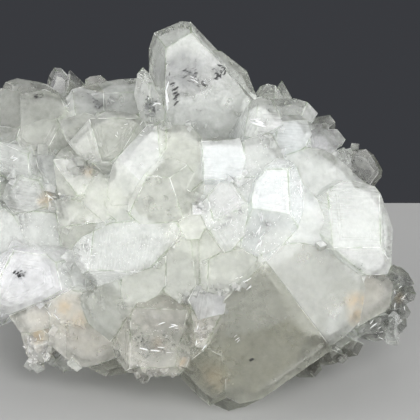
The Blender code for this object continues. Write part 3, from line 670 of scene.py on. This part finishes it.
# How far in a plate lies, in shares of the distance above, and the width of its step and the step's
# height, in shares of the tallest
PLATE_INSETS = (0.12, 0.38)
PLATE_SLOPE = 0.05 * MM
PLATE_HEIGHTS = (0.5, 1.0)
# Corners nearer to each other than this are one, and a turn below this is a notch in a facet
WELD = 0.002 * MM
NOTCH = -1e-10


def side_distance(point, start, end):
    """Distance from a point to one side of a facet."""
    along = end - start
    share = min(1.0, max(0.0, (point - start).dot(along) / along.length_squared))
    return (point - start - along * share).length


def worn_corner(loop, wear):
    """Where a facet's corner goes when its sides are worn back, less where there is no room."""
    corner, before, after = loop.vert.co, loop.link_loop_prev.vert.co, loop.link_loop_next.vert.co
    normal = loop.face.normal
    inward = normal.cross(corner - before).normalized(), normal.cross(after - corner).normalized()
    shift = (inward[0] + inward[1]) * wear / max(WORN_OPENING, 1.0 + inward[0].dot(inward[1]))
    room = [WORN_SHARE * (corner - before).length, WORN_SHARE * (after - corner).length, WORN_REACH * wear]
    for other in loop.face.loops:
        place = other.vert.co
        if other not in (loop, loop.link_loop_prev):
            room.append(WORN_SHARE * side_distance(corner, place, other.link_loop_next.vert.co))
            room.append(WORN_SHARE * side_distance(place, before, corner))
        if other not in (loop, loop.link_loop_next):
            room.append(WORN_SHARE * side_distance(place, corner, after))
    return corner + shift * min(1.0, min(room) / shift.length)


def corner_fan(loop):
    """The facets' loops that meet round one corner, in order."""
    fan = [loop]
    while fan[-1].link_loop_prev.link_loop_radial_next != loop:
        fan.append(fan[-1].link_loop_prev.link_loop_radial_next)
    return fan


def wear_edges(piece, looks):
    """Cut a narrow flat along every edge and over every corner of the crystals."""
    mesh = bmesh.new()
    mesh.from_mesh(piece.data)
    chance = random.Random(WEAR_SEED)
    wear = {vert: chance.uniform(looks.worn_least, looks.worn_most) for vert in mesh.verts}
    facets, edges = list(mesh.faces), list(mesh.edges)
    sharp = {edge: edge.is_convex and edge.calc_face_angle() > WORN_ANGLE for edge in edges}
    fans, seen = [], set()
    for face in facets:
        for loop in face.loops:
            if loop not in seen:
                fans.append(corner_fan(loop))
                seen.update(fans[-1])
    moved = {loop: worn_corner(loop, wear[loop.vert]) for face in facets for loop in face.loops}
    moved = {loop: mesh.verts.new(place) for loop, place in moved.items()}
    for face in facets:
        mesh.faces.new([moved[loop] for loop in face.loops], face)
    for edge in edges:
        one, other = edge.link_loops
        flat = mesh.faces.new((moved[one.link_loop_next], moved[one], moved[other.link_loop_next],
                               moved[other]), one.face)
        # Sharp convex edges get the worn edge finish, whiter as a painted highlight
        flat.material_index = int(sharp[edge])
    for fan in fans:
        if len(fan) > 2:
            flat = mesh.faces.new([moved[loop] for loop in fan], fan[0].face)
            flat.material_index = int(sum(sharp[loop.edge] for loop in fan) * 2 > len(fan))
    bmesh.ops.delete(mesh, geom=facets, context="FACES")
    bmesh.ops.delete(mesh, geom=[vert for vert in mesh.verts if not vert.link_faces], context="VERTS")
    mesh.normal_update()
    mesh.to_mesh(piece.data)
    mesh.free()


def is_convex(face):
    """True if a facet has no notch cut into it by a neighbour."""
    points = [loop.vert.co for loop in face.loops]
    for before, here, after in zip(points[-1:] + points[:-1], points, points[1:] + points[:1]):
        if (here - before).cross(after - here).dot(face.normal) < NOTCH:
            return False
    return True


def inner_reach(face):
    """Distance from a facet's middle to its nearest side."""
    middle = face.calc_center_median()
    reach = math.inf
    for edge in face.edges:
        along = (edge.verts[1].co - edge.verts[0].co).normalized()
        offset = middle - edge.verts[0].co
        reach = min(reach, (offset - along * offset.dot(along)).length)
    return reach


def inset_outline(points, normal, inset):
    """A convex outline moved inward: its corners, and the side of the old outline that leaves each."""
    outline = list(zip(points, range(len(points))))
    for side, start in enumerate(points):
        along = points[(side + 1) % len(points)] - start
        inward = normal.cross(along).normalized()
        kept = []
        for (here, label), (after, _) in zip(outline, outline[1:] + outline[:1]):
            depth, depth_after = (here - start).dot(inward) - inset, (after - start).dot(inward) - inset
            if depth >= 0.0:
                kept.append((here, label))
            if (depth >= 0.0) != (depth_after >= 0.0):
                crossing = here.lerp(after, depth / (depth - depth_after))
                kept.append((crossing, side if depth >= 0.0 else label))
        outline = kept
    kept = [(corner, side) for (corner, side), (after, _) in zip(outline, outline[1:] + outline[:1])
            if (after - corner).length > WELD]
    return [corner for corner, _ in kept], [side for _, side in kept]


def inset_facet(mesh, face, inset, height=0.0):
    """Draw a smaller facet inside a convex one and raise it, leaving out sides that shrink away."""
    corners, sides = inset_outline([vert.co.copy() for vert in face.verts], face.normal, inset)
    if len(corners) < 3 or len(set(sides)) < len(sides):
        return None
    outer = list(face.verts)
    inner = [mesh.verts.new(corner + face.normal * height) for corner in corners]
    for here, side in enumerate(sides):
        after = (here + 1) % len(sides)
        past = (side + 1) % len(outer)
        mesh.faces.new((outer[side], outer[past], inner[after], inner[here]), face)
        while past != sides[after]:
            side, past = past, (past + 1) % len(outer)
            mesh.faces.new((outer[side], outer[past], inner[after]), face)
    top = mesh.faces.new(inner, face)
    mesh.faces.remove(face)
    top.normal_update()
    return top


def raise_plates(piece, tallest):
    """Growth plates: low flat terraces that follow the outline of the larger facets."""
    low, high = CLUSTER_BOX
    mesh = bmesh.new()
    mesh.from_mesh(piece.data)
    chance = random.Random(PLATE_SEED)
    plates = [face for face in mesh.faces
              if face.material_index == 0 and inner_reach(face) > PLATE_REACH and is_convex(face)]
    for face in plates:
        corners = [vert.co for vert in face.verts]
        near_box = any(corner[k] < low[k] + PLATE_CLEAR or corner[k] > high[k] - PLATE_CLEAR
                       for corner in corners for k in range(3))
        if near_box or chance.random() < PLATE_BARE:
            continue
        for _ in range(chance.choice(PLATE_LAYERS)):
            reach = inner_reach(face)
            if reach < PLATE_LEAST:
                break
            face = inset_facet(mesh, face, chance.uniform(*PLATE_INSETS) * reach)
            face = face and inset_facet(mesh, face, PLATE_SLOPE, chance.uniform(*PLATE_HEIGHTS) * tallest)
            if face is None:
                break
    mesh.normal_update()
    mesh.to_mesh(piece.data)
    mesh.free()


# Growth lines run across this direction, and on a share of the facets along it
GROWTH_AXIS = Vector((0.12, 0.05, 1.0))
GROWTH_ALONG = 0.4


def draw_grain(piece):
    """UV map in metres whose U runs along each facet's growth lines."""
    mesh = piece.data
    grain = mesh.uv_layers.new(name="grain")
    for face in mesh.polygons:
        normal = face.normal
        across = normal.cross(GROWTH_AXIS).normalized()
        along = normal.cross(across)
        chance = random.Random(hash(plane_key(face)))
        if chance.random() < GROWTH_ALONG:
            across, along = along, across
        shift = chance.uniform(0.0, 1.0)
        for corner in face.loop_indices:
            place = mesh.vertices[mesh.loops[corner].vertex_index].co
            grain.data[corner].uv = (place.dot(across) + shift, place.dot(along) + shift)


class CLUSTER_OT_crystals(bpy.types.Operator):
    """The crystals' clear outer faces, with growth plates and worn edges"""
    bl_idname = "cluster.crystals"
    bl_label = "Crystals"

    def execute(self, context):
        looks = context.scene.cluster_looks
        piece = cluster_copy("crystals")
        colour_facets(piece)
        wear_edges(piece, looks)
        raise_plates(piece, looks.plate_height)
        draw_grain(piece)
        piece.data.materials.append(crystal_finish(looks))
        # Second slot: the worn edge finish, whiter as a painted highlight
        piece.data.materials.append(crystal_finish(looks, edge=True))
        for face in piece.data.polygons:
            face.use_smooth = False
        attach(piece, "root")
        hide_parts(CLUSTER)
        return {"FINISHED"}


def keep_main_body(piece):
    """Delete what is not joined to the lowest corner of a piece."""
    lowest = min(piece.data.vertices, key=lambda vertex: vertex.co.z).index
    select_only(piece)
    bpy.ops.object.mode_set(mode="EDIT")
    bpy.ops.mesh.select_mode(type="VERT")
    bpy.ops.mesh.select_all(action="DESELECT")
    mesh = bmesh.from_edit_mesh(piece.data)
    mesh.verts.ensure_lookup_table()
    mesh.verts[lowest].select_set(True)
    bmesh.update_edit_mesh(piece.data)
    bpy.ops.mesh.select_linked()
    bpy.ops.mesh.select_all(action="INVERT")
    bpy.ops.mesh.delete(type="VERT")
    bpy.ops.object.mode_set(mode="OBJECT")


# Size of the milky heart's faces, and how often they are smoothed
HEART_VOXEL = 0.9 * MM
HEART_SMOOTHING = 12


class CLUSTER_OT_milk(bpy.types.Operator):
    """The milky heart seen through the clear crystals"""
    bl_idname = "cluster.milk"
    bl_label = "Milky heart"

    def execute(self, context):
        looks = context.scene.cluster_looks
        piece = cluster_copy("milky_heart")
        remesh = piece.modifiers.new("even faces", "REMESH")
        remesh.mode = "VOXEL"
        remesh.voxel_size = HEART_VOXEL
        shrink = piece.modifiers.new("inward", "DISPLACE")
        shrink.direction = "NORMAL"
        shrink.strength = -looks.heart_depth
        shrink.mid_level = 0.0
        smooth = piece.modifiers.new("soften", "SMOOTH")
        smooth.iterations = HEART_SMOOTHING
        apply_modifiers(piece)
        keep_main_body(piece)
        tone_and_shade, thin, tint = new_attributes(piece.data, "POINT", ("tone_and_shade", "thin", "tint"))
        for vertex in piece.data.vertices:
            zone = zone_at(vertex.co, vertex.normal) or PLAIN_ZONE
            # Zone tone, partly painted light and shade
            tone_and_shade[vertex.index].value = zone[4]
            thin[vertex.index].value = 1.0 - zone[5]
            tint[vertex.index].color = TINTS[zone[6]] + (1.0,)
        for face in piece.data.polygons:
            face.use_smooth = True
        piece.data.materials.append(milk_finish(looks))
        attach(piece, "root")
        return {"FINISHED"}


# One small crystal, in shares of its width: radius and length of its prism, height and breadth of its
# point, and its worn edges
PRISM_RADIUS = 0.7
PRISM_LENGTH = 1.4
POINT_HEIGHT = 0.75
POINT_BREADTH = 0.22
PRISM_WORN = 0.05


def small_crystal():
    """One small square crystal with a four-faced point, its prism centred on the origin."""
    bpy.ops.object.select_all(action="DESELECT")
    bpy.ops.mesh.primitive_cylinder_add(vertices=4, radius=PRISM_RADIUS, depth=PRISM_LENGTH)
    crystal = bpy.context.object
    bpy.ops.object.mode_set(mode="EDIT")
    mesh = bmesh.from_edit_mesh(crystal.data)
    for face in mesh.faces:
        face.select_set(face.normal.z > 0.9)
    bmesh.update_edit_mesh(crystal.data)
    bpy.ops.mesh.extrude_region_move(TRANSFORM_OT_translate={"value": (0.0, 0.0, POINT_HEIGHT)})
    bpy.ops.transform.resize(value=(POINT_BREADTH, POINT_BREADTH, 1.0))
    bpy.ops.mesh.select_all(action="SELECT")
    bpy.ops.mesh.bevel(offset=PRISM_WORN, segments=1)
    bpy.ops.object.mode_set(mode="OBJECT")
    return crystal


# Crowds of small crystals: name, middle as (across, down), spread across and down, number, and size in
# millimetres
CROWDS = [
    ("low left fringe", 38, 350, 14, 12, 18, 2.1),
    ("low left fringe end", 66, 366, 14, 7, 12, 2.0),
    ("low left ridge", 62, 330, 14, 10, 6, 1.5),
    ("low right fringe", 330, 362, 22, 10, 30, 1.9),
    ("right end", 392, 325, 14, 14, 9, 2.8),
    ("far right chips", 402, 288, 6, 12, 6, 2.2),
    ("window foot", 150, 374, 26, 4, 18, 1.3),
    ("window rim", 204, 336, 8, 16, 18, 1.5),
    ("jagged ridge", 224, 288, 22, 5, 18, 1.4),
    ("column foot", 190, 298, 10, 6, 12, 1.2),
    ("speckled crystal", 226, 212, 18, 14, 12, 0.9),
    ("left of striped face", 82, 250, 9, 12, 8, 1.2),
    ("upper left nest", 80, 165, 22, 12, 26, 1.6),
    ("left nest", 52, 196, 16, 8, 14, 1.5),
    ("crown side", 152, 108, 8, 12, 12, 1.4),
    ("crown heel", 104, 100, 8, 8, 10, 1.4),
    ("below crown", 180, 128, 34, 5, 14, 1.2),
    ("right nest", 270, 132, 14, 14, 10, 1.4),
    ("right shoulder nest", 345, 156, 10, 8, 12, 1.6),
    ("bright facets", 262, 232, 10, 12, 4, 1.2),
    ("left edge nest", 12, 185, 10, 12, 8, 1.7),
]
CROWD_SIZES = (0.45, 1.25)
CROWD_LEAN = 0.9
CROWD_SUNK = 0.8
# Seams with room for small crystals: least length and angle. The light zones of the show side have
# few crystals in their seams
SEAM_LENGTH = 1.2 * MM
SEAM_ANGLE = math.radians(35)
BARE_TONE = 0.78
BARE_SHARE = 0.7
# Sizes in the seams, in millimetres, and the power that makes most of them small
SEAM_LEAST = 0.8
SEAM_GROWTH = 2.4
SEAM_POWER = 1.6
SEAM_LEAN = 0.7
SEAM_SUNK = 0.2
# Lengths and widths of small crystals in shares of their size, how much milkier they are than the
# large ones, and their distance from the cluster's box
SMALL_LENGTHS = (0.8, 1.4)
SMALL_WIDTHS = (0.7, 1.2)
SMALL_MILKIER = 1.8
BOX_GAP = 0.1 * MM


def grow_small(crystal, chance, spot, outward, lean, size, sunk, hidden=False):
    """A small crystal grown on one spot, or nothing where it would stick out of the cluster's box.

    A hidden one also stays inside the outline of the large crystals.
    """
    low, high = CLUSTER_BOX
    axis = leaning(outward, lean, chance)
    length = chance.uniform(*SMALL_LENGTHS)
    turn = turned_along(axis) @ Matrix.Rotation(chance.uniform(0.0, math.pi / 2), 4, "Z")
    grow = Matrix.Diagonal((size * chance.uniform(*SMALL_WIDTHS), size, size * length, 1.0))
    place = Matrix.Translation(spot - axis * size * sunk) @ turn @ grow
    corners = [place @ vertex.co for vertex in crystal.data.vertices]
    inside = all(low[k] + BOX_GAP < corner[k] < high[k] - BOX_GAP for corner in corners for k in range(3))
    if inside and hidden:
        inside = all(on_crystals(*sighted(corner)[:2])[0] for corner in corners)
    return place_copy(crystal, place) if inside else None


class CLUSTER_OT_druse(bpy.types.Operator):
    """Small crystals that crowd the seams between the large ones"""
    bl_idname = "cluster.druse"
    bl_label = "Small crystals"

    def execute(self, context):
        looks = context.scene.cluster_looks
        chance = random.Random(DRUSE_SEED)
        source = cluster_copy("seams")
        mesh = bmesh.new()
        mesh.from_mesh(source.data)
        seams = [edge for edge in mesh.edges if edge.is_manifold and not edge.is_convex
                 and edge.calc_length() > SEAM_LENGTH and edge.calc_face_angle() > SEAM_ANGLE]
        crystal = small_crystal()
        copies = []
        while len(copies) < looks.seam_crystals:
            edge = chance.choice(seams)
            spot = edge.verts[0].co.lerp(edge.verts[1].co, chance.random())
            outward = (edge.link_faces[0].normal + edge.link_faces[1].normal).normalized()
            zone = zone_at(spot, outward)
            if zone and zone[4] > BARE_TONE and chance.random() < BARE_SHARE:
                continue
            size = (SEAM_LEAST + SEAM_GROWTH * chance.random() ** SEAM_POWER) * MM
            copy = grow_small(crystal, chance, spot, outward, SEAM_LEAN, size, SEAM_SUNK, hidden=True)
            if copy:
                copies.append(copy)
        mesh.free()
        for _, across, down, wide, high, count, size in CROWDS:
            for _ in range(count):
                spot, normal = on_crystals(across + chance.uniform(-wide, wide),
                                           down + chance.uniform(-high, high))
                copy = spot and grow_small(crystal, chance, spot, normal, CROWD_LEAN,
                                           size * chance.uniform(*CROWD_SIZES) * MM, CROWD_SUNK)
                if copy:
                    copies.append(copy)
        bpy.data.objects.remove(source)
        bpy.data.objects.remove(crystal)
        piece = join_copies(copies, "small_crystals")
        colour_facets(piece, SMALL_MILKIER)
        draw_grain(piece)
        piece.data.materials.append(crystal_finish(looks))
        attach(piece, "root")
        return {"FINISHED"}


def depth_inside(point):
    """How far a point lies under the crystals' surface, negative outside."""
    near, normal, _, _ = CRYSTALS_TREE.find_nearest(point)
    distance = (near - point).length
    return distance if (point - near).dot(normal) < 0.0 else -distance


# Healed cracks: size in millimetres, depth and width in shares of it, lean, turn, the least depth of
# the rim, the points of a unit rim, and how many places are tried
VEIL_SIZES = (1.3, 4.2)
VEIL_DEPTHS = (0.5, 1.1)
VEIL_WIDTHS = (0.4, 0.9)
VEIL_LEAN = 0.9
VEIL_TURN = 6.3
VEIL_CLEAR = 0.35 * MM
VEIL_RIM = ((1, 0), (-1, 0), (0, 1), (0, -1), (0.7, 0.7), (-0.7, 0.7), (0.7, -0.7), (-0.7, -0.7))
VEIL_TRIES = 6000


def veil_model():
    """One round wavy sheet, about a unit in radius, like a healed crack."""
    bpy.ops.object.select_all(action="DESELECT")
    bpy.ops.mesh.primitive_grid_add(x_subdivisions=9, y_subdivisions=9, size=2.0)
    veil = bpy.context.object
    waves = bpy.data.textures.new("veil waves", "CLOUDS")
    waves.noise_scale = 0.6
    displace = veil.modifiers.new("waves", "DISPLACE")
    displace.texture = waves
    displace.strength = 0.35
    displace.texture_coords = "LOCAL"
    cast = veil.modifiers.new("round", "CAST")
    cast.cast_type = "CYLINDER"
    cast.use_x = True
    cast.use_y = True
    cast.use_z = False
    cast.factor = 0.6
    apply_modifiers(veil)
    for face in veil.data.polygons:
        face.use_smooth = True
    return veil


def veil_finish():
    """Shining patches and dots with nothing between them."""
    nodes = Nodes("healed crack")
    place = nodes.place()
    patches = nodes.noise(place, 2.2 * MM, 5.0, 0.65, 1.5)
    dots = nodes.dots(place, 0.35 * MM)
    shown = patches.ramp(0.50, 0.62) * (0.35 + 0.65 * dots.ramp(0.45, 0.2))
    glow = nodes.principled({
        "Base Color": (0.97, 0.98, 0.98, 1.0), "Roughness": 0.25, "IOR": VEIL_IOR, "Metallic": 0.3,
        "Normal": nodes.bump(nodes.noise(place, 0.8 * MM, 3.0), 0.1 * MM)})
    surface = nodes.mix_shader(shown * 0.8, nodes.add("ShaderNodeBsdfTransparent"), glow)
    return nodes.finish(surface)


class CLUSTER_OT_veils(bpy.types.Operator):
    """Healed cracks that shine inside the clear crystals"""
    bl_idname = "cluster.veils"
    bl_label = "Healed cracks"

    def execute(self, context):
        wanted = context.scene.cluster_looks.healed_cracks
        chance = random.Random(VEIL_SEED)
        veil = veil_model()
        faces = CLUSTER_MESH.polygons
        areas = [face.area for face in faces]
        copies = []
        tries = 0
        while len(copies) < wanted and tries < VEIL_TRIES:
            tries += 1
            face = chance.choices(faces, areas)[0]
            size = chance.uniform(*VEIL_SIZES) * MM
            depth = chance.uniform(*VEIL_DEPTHS) * size
            lean = turned_along(leaning(face.normal, VEIL_LEAN, chance))
            turn = Matrix.Rotation(chance.uniform(0, VEIL_TURN), 4, "Z")
            grow = Matrix.Diagonal((size, size * chance.uniform(*VEIL_WIDTHS), size, 1.0))
            place = Matrix.Translation(face.center - face.normal * depth) @ lean @ turn @ grow
            rim = [place @ Vector((across, along, 0.0)) for across, along in VEIL_RIM]
            if min(depth_inside(point) for point in rim) >= VEIL_CLEAR:
                copies.append(place_copy(veil, place))
        bpy.data.objects.remove(veil)
        piece = join_copies(copies, "healed_cracks")
        piece.data.materials.append(veil_finish())
        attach(piece, "root")
        return {"FINISHED"}


# Dark inclusions: name, middle as (across, down), spread across and down, number, size in millimetres,
# and the slope in degrees that they lie along, or None
INCLUSIONS = [
    ("crown right spot", 219, 72, 6, 7, 18, 0.80, None),
    ("crown middle marks", 190, 73, 7, 5, 14, 0.70, 20),
    ("crown middle haze", 186, 68, 12, 9, 26, 0.25, None),
    ("crown line marks", 197, 83, 9, 3, 14, 0.60, -25),
    ("crown streaks", 175, 94, 3, 12, 10, 0.95, 25),
    ("crown left edge", 168, 70, 2, 12, 12, 0.40, 75),
    ("crown side marks", 151, 104, 5, 8, 16, 0.60, None),
    ("crown foot marks", 197, 110, 4, 1, 3, 0.35, 0),
    ("crown side dot", 159, 124, 1, 1, 1, 0.50, 0),
    ("upper left mark", 39, 96, 4, 2, 10, 0.6, 10),
    ("skyline lump marks", 98, 103, 5, 5, 12, 0.5, None),
    ("ridge marks", 85, 95, 3, 2, 3, 0.45, None),
    ("left block mark", 19, 274, 6, 3, 18, 0.65, 20),
    ("left dots", 21, 111, 6, 3, 3, 0.25, 0),
    ("face dots", 125, 300, 1, 4, 2, 0.40, 0),
    ("face dots below", 120, 318, 5, 6, 3, 0.35, 0),
    ("left low dot", 66, 300, 1, 1, 1, 0.45, 0),
    ("great dot", 252, 360, 1, 1, 3, 0.90, 45),
    ("great small dots", 282, 316, 8, 8, 4, 0.25, None),
    ("oval one", 150, 200, 3, 1, 3, 0.40, 0),
    ("oval two", 148, 180, 3, 1, 3, 0.35, 0),
    ("smoky marks", 358, 168, 6, 8, 5, 0.30, None),
    ("far right square", 397, 277, 2, 2, 6, 0.75, None),
    ("far right edge", 400, 292, 4, 7, 8, 0.45, 60),
    ("right block feature", 357, 268, 8, 5, 12, 0.4, None),
    ("window marks", 150, 345, 18, 14, 22, 0.45, None),
]
# Glints painted as bright white flakes, in the same way
GLINT_ROWS = [
    ("crown strip", 167, 97, 1, 12, 9, 1.5, 88),
    ("crown line glints", 198, 80, 9, 3, 5, 0.9, -25),
    ("crown side glint", 155, 104, 3, 1, 2, 1.2, 10),
    ("left shoulder glints", 67, 106, 4, 3, 3, 1.0, 40),
    ("upper middle glints", 125, 130, 10, 8, 4, 0.7, None),
    ("left button glint", 14, 158, 2, 2, 3, 1.0, 20),
    ("left nest glints", 52, 197, 7, 2, 4, 1.2, -15),
    ("middle seam glints", 150, 150, 12, 30, 9, 0.7, None),
    ("bright strip", 259, 238, 3, 9, 6, 1.6, 65),
    ("bright small strip", 261, 217, 2, 4, 4, 1.1, 80),
    ("right strip", 302, 188, 2, 7, 5, 1.3, -70),
    ("right flash", 258, 122, 3, 3, 4, 2.2, 0),
    ("speckled glints", 226, 214, 16, 18, 24, 0.7, None),
    ("great glint", 236, 339, 3, 4, 3, 1.3, 42),
    ("ridge glints", 243, 283, 12, 7, 10, 0.9, 35),
    ("window top glints", 166, 326, 14, 3, 5, 1.1, 8),
    ("window glints", 158, 350, 16, 4, 4, 1.3, -4),
    ("window side glints", 202, 338, 6, 14, 8, 1.0, None),
    ("striped face glints", 88, 252, 8, 12, 10, 0.8, None),
    ("peach glints", 52, 312, 8, 8, 6, 1.0, None),
    ("low edge glints", 38, 348, 12, 12, 10, 1.1, None),
    ("far right glints", 400, 298, 6, 14, 6, 1.1, None),
    ("right end glints", 384, 330, 14, 10, 6, 1.2, None),
]
# Flakes: length, width and thickness in shares of their size, how ragged they are, how much their size
# and slope change, and how far they stand off the facets
DARK_SHAPE = (1.7, 0.42, 0.20)
BRIGHT_SHAPE = (1.9, 0.24, 0.10)
FLAKE_RAGGED = 0.16
FLAKE_SIZES = (0.5, 1.3)
FLAKE_SPREAD = math.radians(18.0)
FLAKE_RISE = 0.03


def lay_flakes(rows, name, shape, seed):
    """One piece of many thin flakes laid on the crystals' facets, spaced out evenly down each row."""
    chance = random.Random(seed)
    bpy.ops.object.select_all(action="DESELECT")
    bpy.ops.mesh.primitive_ico_sphere_add(subdivisions=1, radius=0.5)
    flake = bpy.context.object
    bpy.ops.object.mode_set(mode="EDIT")
    bpy.ops.mesh.select_all(action="SELECT")
    bpy.ops.transform.vertex_random(offset=FLAKE_RAGGED, seed=RAGGED_SEED)
    bpy.ops.transform.resize(value=shape)
    bpy.ops.object.mode_set(mode="OBJECT")
    tree = surface_tree(bpy.data.objects["crystals"].data)
    copies = []
    for _, across, down, wide, high, count, size, slope in rows:
        for row in range(count):
            step = (2 * row + chance.uniform(0.5, 1.5)) / count - 1.0
            spot, normal = on_crystals(across + chance.uniform(-wide, wide), down + high * step, tree)
            grow = size * MM * chance.uniform(*FLAKE_SIZES)
            lean = chance.uniform(0.0, math.tau)
            if slope is not None:
                lean = math.radians(slope) + chance.uniform(-FLAKE_SPREAD, FLAKE_SPREAD)
            if spot is None:
                continue
            side = normal.cross(RIGHT * math.cos(lean) + UP * math.sin(lean)).normalized()
            turn = Matrix((side.cross(normal), side, normal)).transposed().to_4x4()
            place = Matrix.Translation(spot + normal * FLAKE_RISE * grow)
            copies.append(place_copy(flake, place @ turn @ Matrix.Scale(grow, 4)))
    bpy.data.objects.remove(flake)
    piece = join_copies(copies, name)
    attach(piece, "root")
    return piece


def speck_finish(looks):
    """Near black with grayer spots."""
    nodes = Nodes("dark inclusion")
    spots = nodes.noise(nodes.place(), 0.4 * MM, 3.0).ramp(0.4, 0.6)
    base = nodes.mix(spots, tuple(looks.flake_colour), (0.05, 0.05, 0.05, 1.0))
    return nodes.finish(nodes.principled({"Base Color": base, "Roughness": 0.3}))


class CLUSTER_OT_specks(bpy.types.Operator):
    """Dark flakes at the crystals' faces"""
    bl_idname = "cluster.specks"
    bl_label = "Dark flakes"

    def execute(self, context):
        piece = lay_flakes(INCLUSIONS, "dark_flakes", DARK_SHAPE, DARK_SEED)
        piece.data.materials.append(speck_finish(context.scene.cluster_looks))
        return {"FINISHED"}


def glint_finish():
    """Painted glint: bright white, smooth and a little uneven."""
    nodes = Nodes("glint paint")
    worn = nodes.noise(nodes.place(), 0.3 * MM, 3.0)
    return nodes.finish(nodes.principled({
        "Base Color": nodes.mix(worn.ramp(0.3, 0.6), (0.90, 0.92, 0.92, 1.0), WHITE),
        "Roughness": 0.12, "Normal": nodes.bump(worn, 0.02 * MM)}))


class CLUSTER_OT_glints(bpy.types.Operator):
    """Glints painted as bright white flakes on the crystals' edges and cracks"""
    bl_idname = "cluster.chips"
    bl_label = "Painted glints"

    def execute(self, context):
        piece = lay_flakes(GLINT_ROWS, "glint_flakes", BRIGHT_SHAPE, BRIGHT_SEED)
        piece.data.materials.append(glint_finish())
        return {"FINISHED"}


# Lamps: name, place and width in metres, and power in watts
LAMPS = [
    ("key lamp", (0.20, -0.44, 0.34), 0.38, 1.40),
    ("front panel", (0.0, -0.95, 0.45), 0.90, 3.2),
    ("left panel", (-0.80, -0.15, 0.28), 0.60, 3.0),
    ("right panel", (0.80, -0.10, 0.28), 0.60, 1.8),
    ("top panel", (0.0, 0.15, 0.80), 0.60, 0.9),
    ("back panel", (0.0, 0.95, 0.45), 0.90, 1.5),
    ("left glint", (-0.22, -0.50, 0.10), 0.05, 0.10),
    ("low glint", (0.08, -0.55, 0.04), 0.05, 0.10),
    ("high glint", (-0.12, -0.30, 0.48), 0.05, 0.10),
    ("right glint", (0.44, -0.26, 0.14), 0.05, 0.10),
]
LAMP_TARGET = Vector((0.0, 0.0, 0.035))
# The floor lies just under the cluster and ends behind it
FLOOR_CENTRE = (0.0, -0.91, -0.0005)
FLOOR_SIZE = (3.0, 2.0, 1.0)


def soft_lamp(name, place, size, power):
    data = bpy.data.lights.new(name, "AREA")
    data.size = size
    data.energy = power
    lamp = bpy.data.objects.new(name, data)
    lamp.location = place
    lamp.rotation_euler = (LAMP_TARGET - Vector(place)).to_track_quat("-Z", "Y").to_euler()
    bpy.context.scene.collection.objects.link(lamp)


class CLUSTER_OT_stage(bpy.types.Operator):
    """Plain pale floor, soft lamps and the camera"""
    bl_idname = "cluster.stage"
    bl_label = "Stage"

    def execute(self, context):
        scene = context.scene
        looks = scene.cluster_looks
        bpy.ops.mesh.primitive_plane_add(size=1.0, location=FLOOR_CENTRE)
        floor = context.object
        floor.name = "floor"
        floor.scale = FLOOR_SIZE
        bpy.ops.object.transform_apply(location=True, rotation=True, scale=True)
        nodes = Nodes("pale floor")
        shade = nodes.principled({"Base Color": tuple(looks.floor_colour), "Roughness": 0.7})
        floor.data.materials.append(nodes.finish(shade))

        world = bpy.data.worlds.new("studio")
        scene.world = world
        world.use_nodes = True
        backdrop = world.node_tree.nodes["Background"]
        backdrop.inputs["Color"].default_value = tuple(looks.backdrop_colour)
        backdrop.inputs["Strength"].default_value = 1.0

        for lamp in LAMPS:
            soft_lamp(*lamp)

        camera_data = bpy.data.cameras.new("camera")
        camera_data.sensor_width = SENSOR
        camera_data.lens = SENSOR * SIGHT_DISTANCE / VIEW_WIDTH
        camera_data.clip_start = CAMERA_NEAR
        camera = bpy.data.objects.new("camera", camera_data)
        camera.location = EYE
        camera.rotation_euler = (-TOWARD).to_track_quat("-Z", "Y").to_euler()
        scene.collection.objects.link(camera)
        scene.camera = camera
        scene.view_settings.view_transform = "Standard"
        return {"FINISHED"}


OPERATORS = (CLUSTER_OT_crystals, CLUSTER_OT_milk, CLUSTER_OT_druse, CLUSTER_OT_veils, CLUSTER_OT_specks,
             CLUSTER_OT_glints, CLUSTER_OT_stage)


class CLUSTER_PT_looks(bpy.types.Panel):
    """The cluster's sizes and colours, and the operators in the order that builds it"""
    bl_idname = "CLUSTER_PT_looks"
    bl_label = "Apophyllite cluster"
    bl_space_type = "VIEW_3D"
    bl_region_type = "UI"
    bl_category = "Cluster"

    def draw(self, context):
        for name in ClusterLooks.__annotations__:
            self.layout.prop(context.scene.cluster_looks, name)
        for kind in OPERATORS:
            self.layout.operator(kind.bl_idname)


CLASSES = (ClusterLooks,) + OPERATORS + (CLUSTER_PT_looks,)


def register():
    for kind in CLASSES:
        bpy.utils.register_class(kind)
    bpy.types.Scene.cluster_looks = bpy.props.PointerProperty(type=ClusterLooks)


def unregister():
    del bpy.types.Scene.cluster_looks
    for kind in reversed(CLASSES):
        bpy.utils.unregister_class(kind)


def main():
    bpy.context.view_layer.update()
    register()
    bpy.ops.cluster.crystals()
    bpy.ops.cluster.milk()
    bpy.ops.cluster.druse()
    bpy.ops.cluster.veils()
    bpy.ops.cluster.specks()
    bpy.ops.cluster.chips()
    bpy.ops.cluster.stage()


if __name__ == "__main__":
    main()
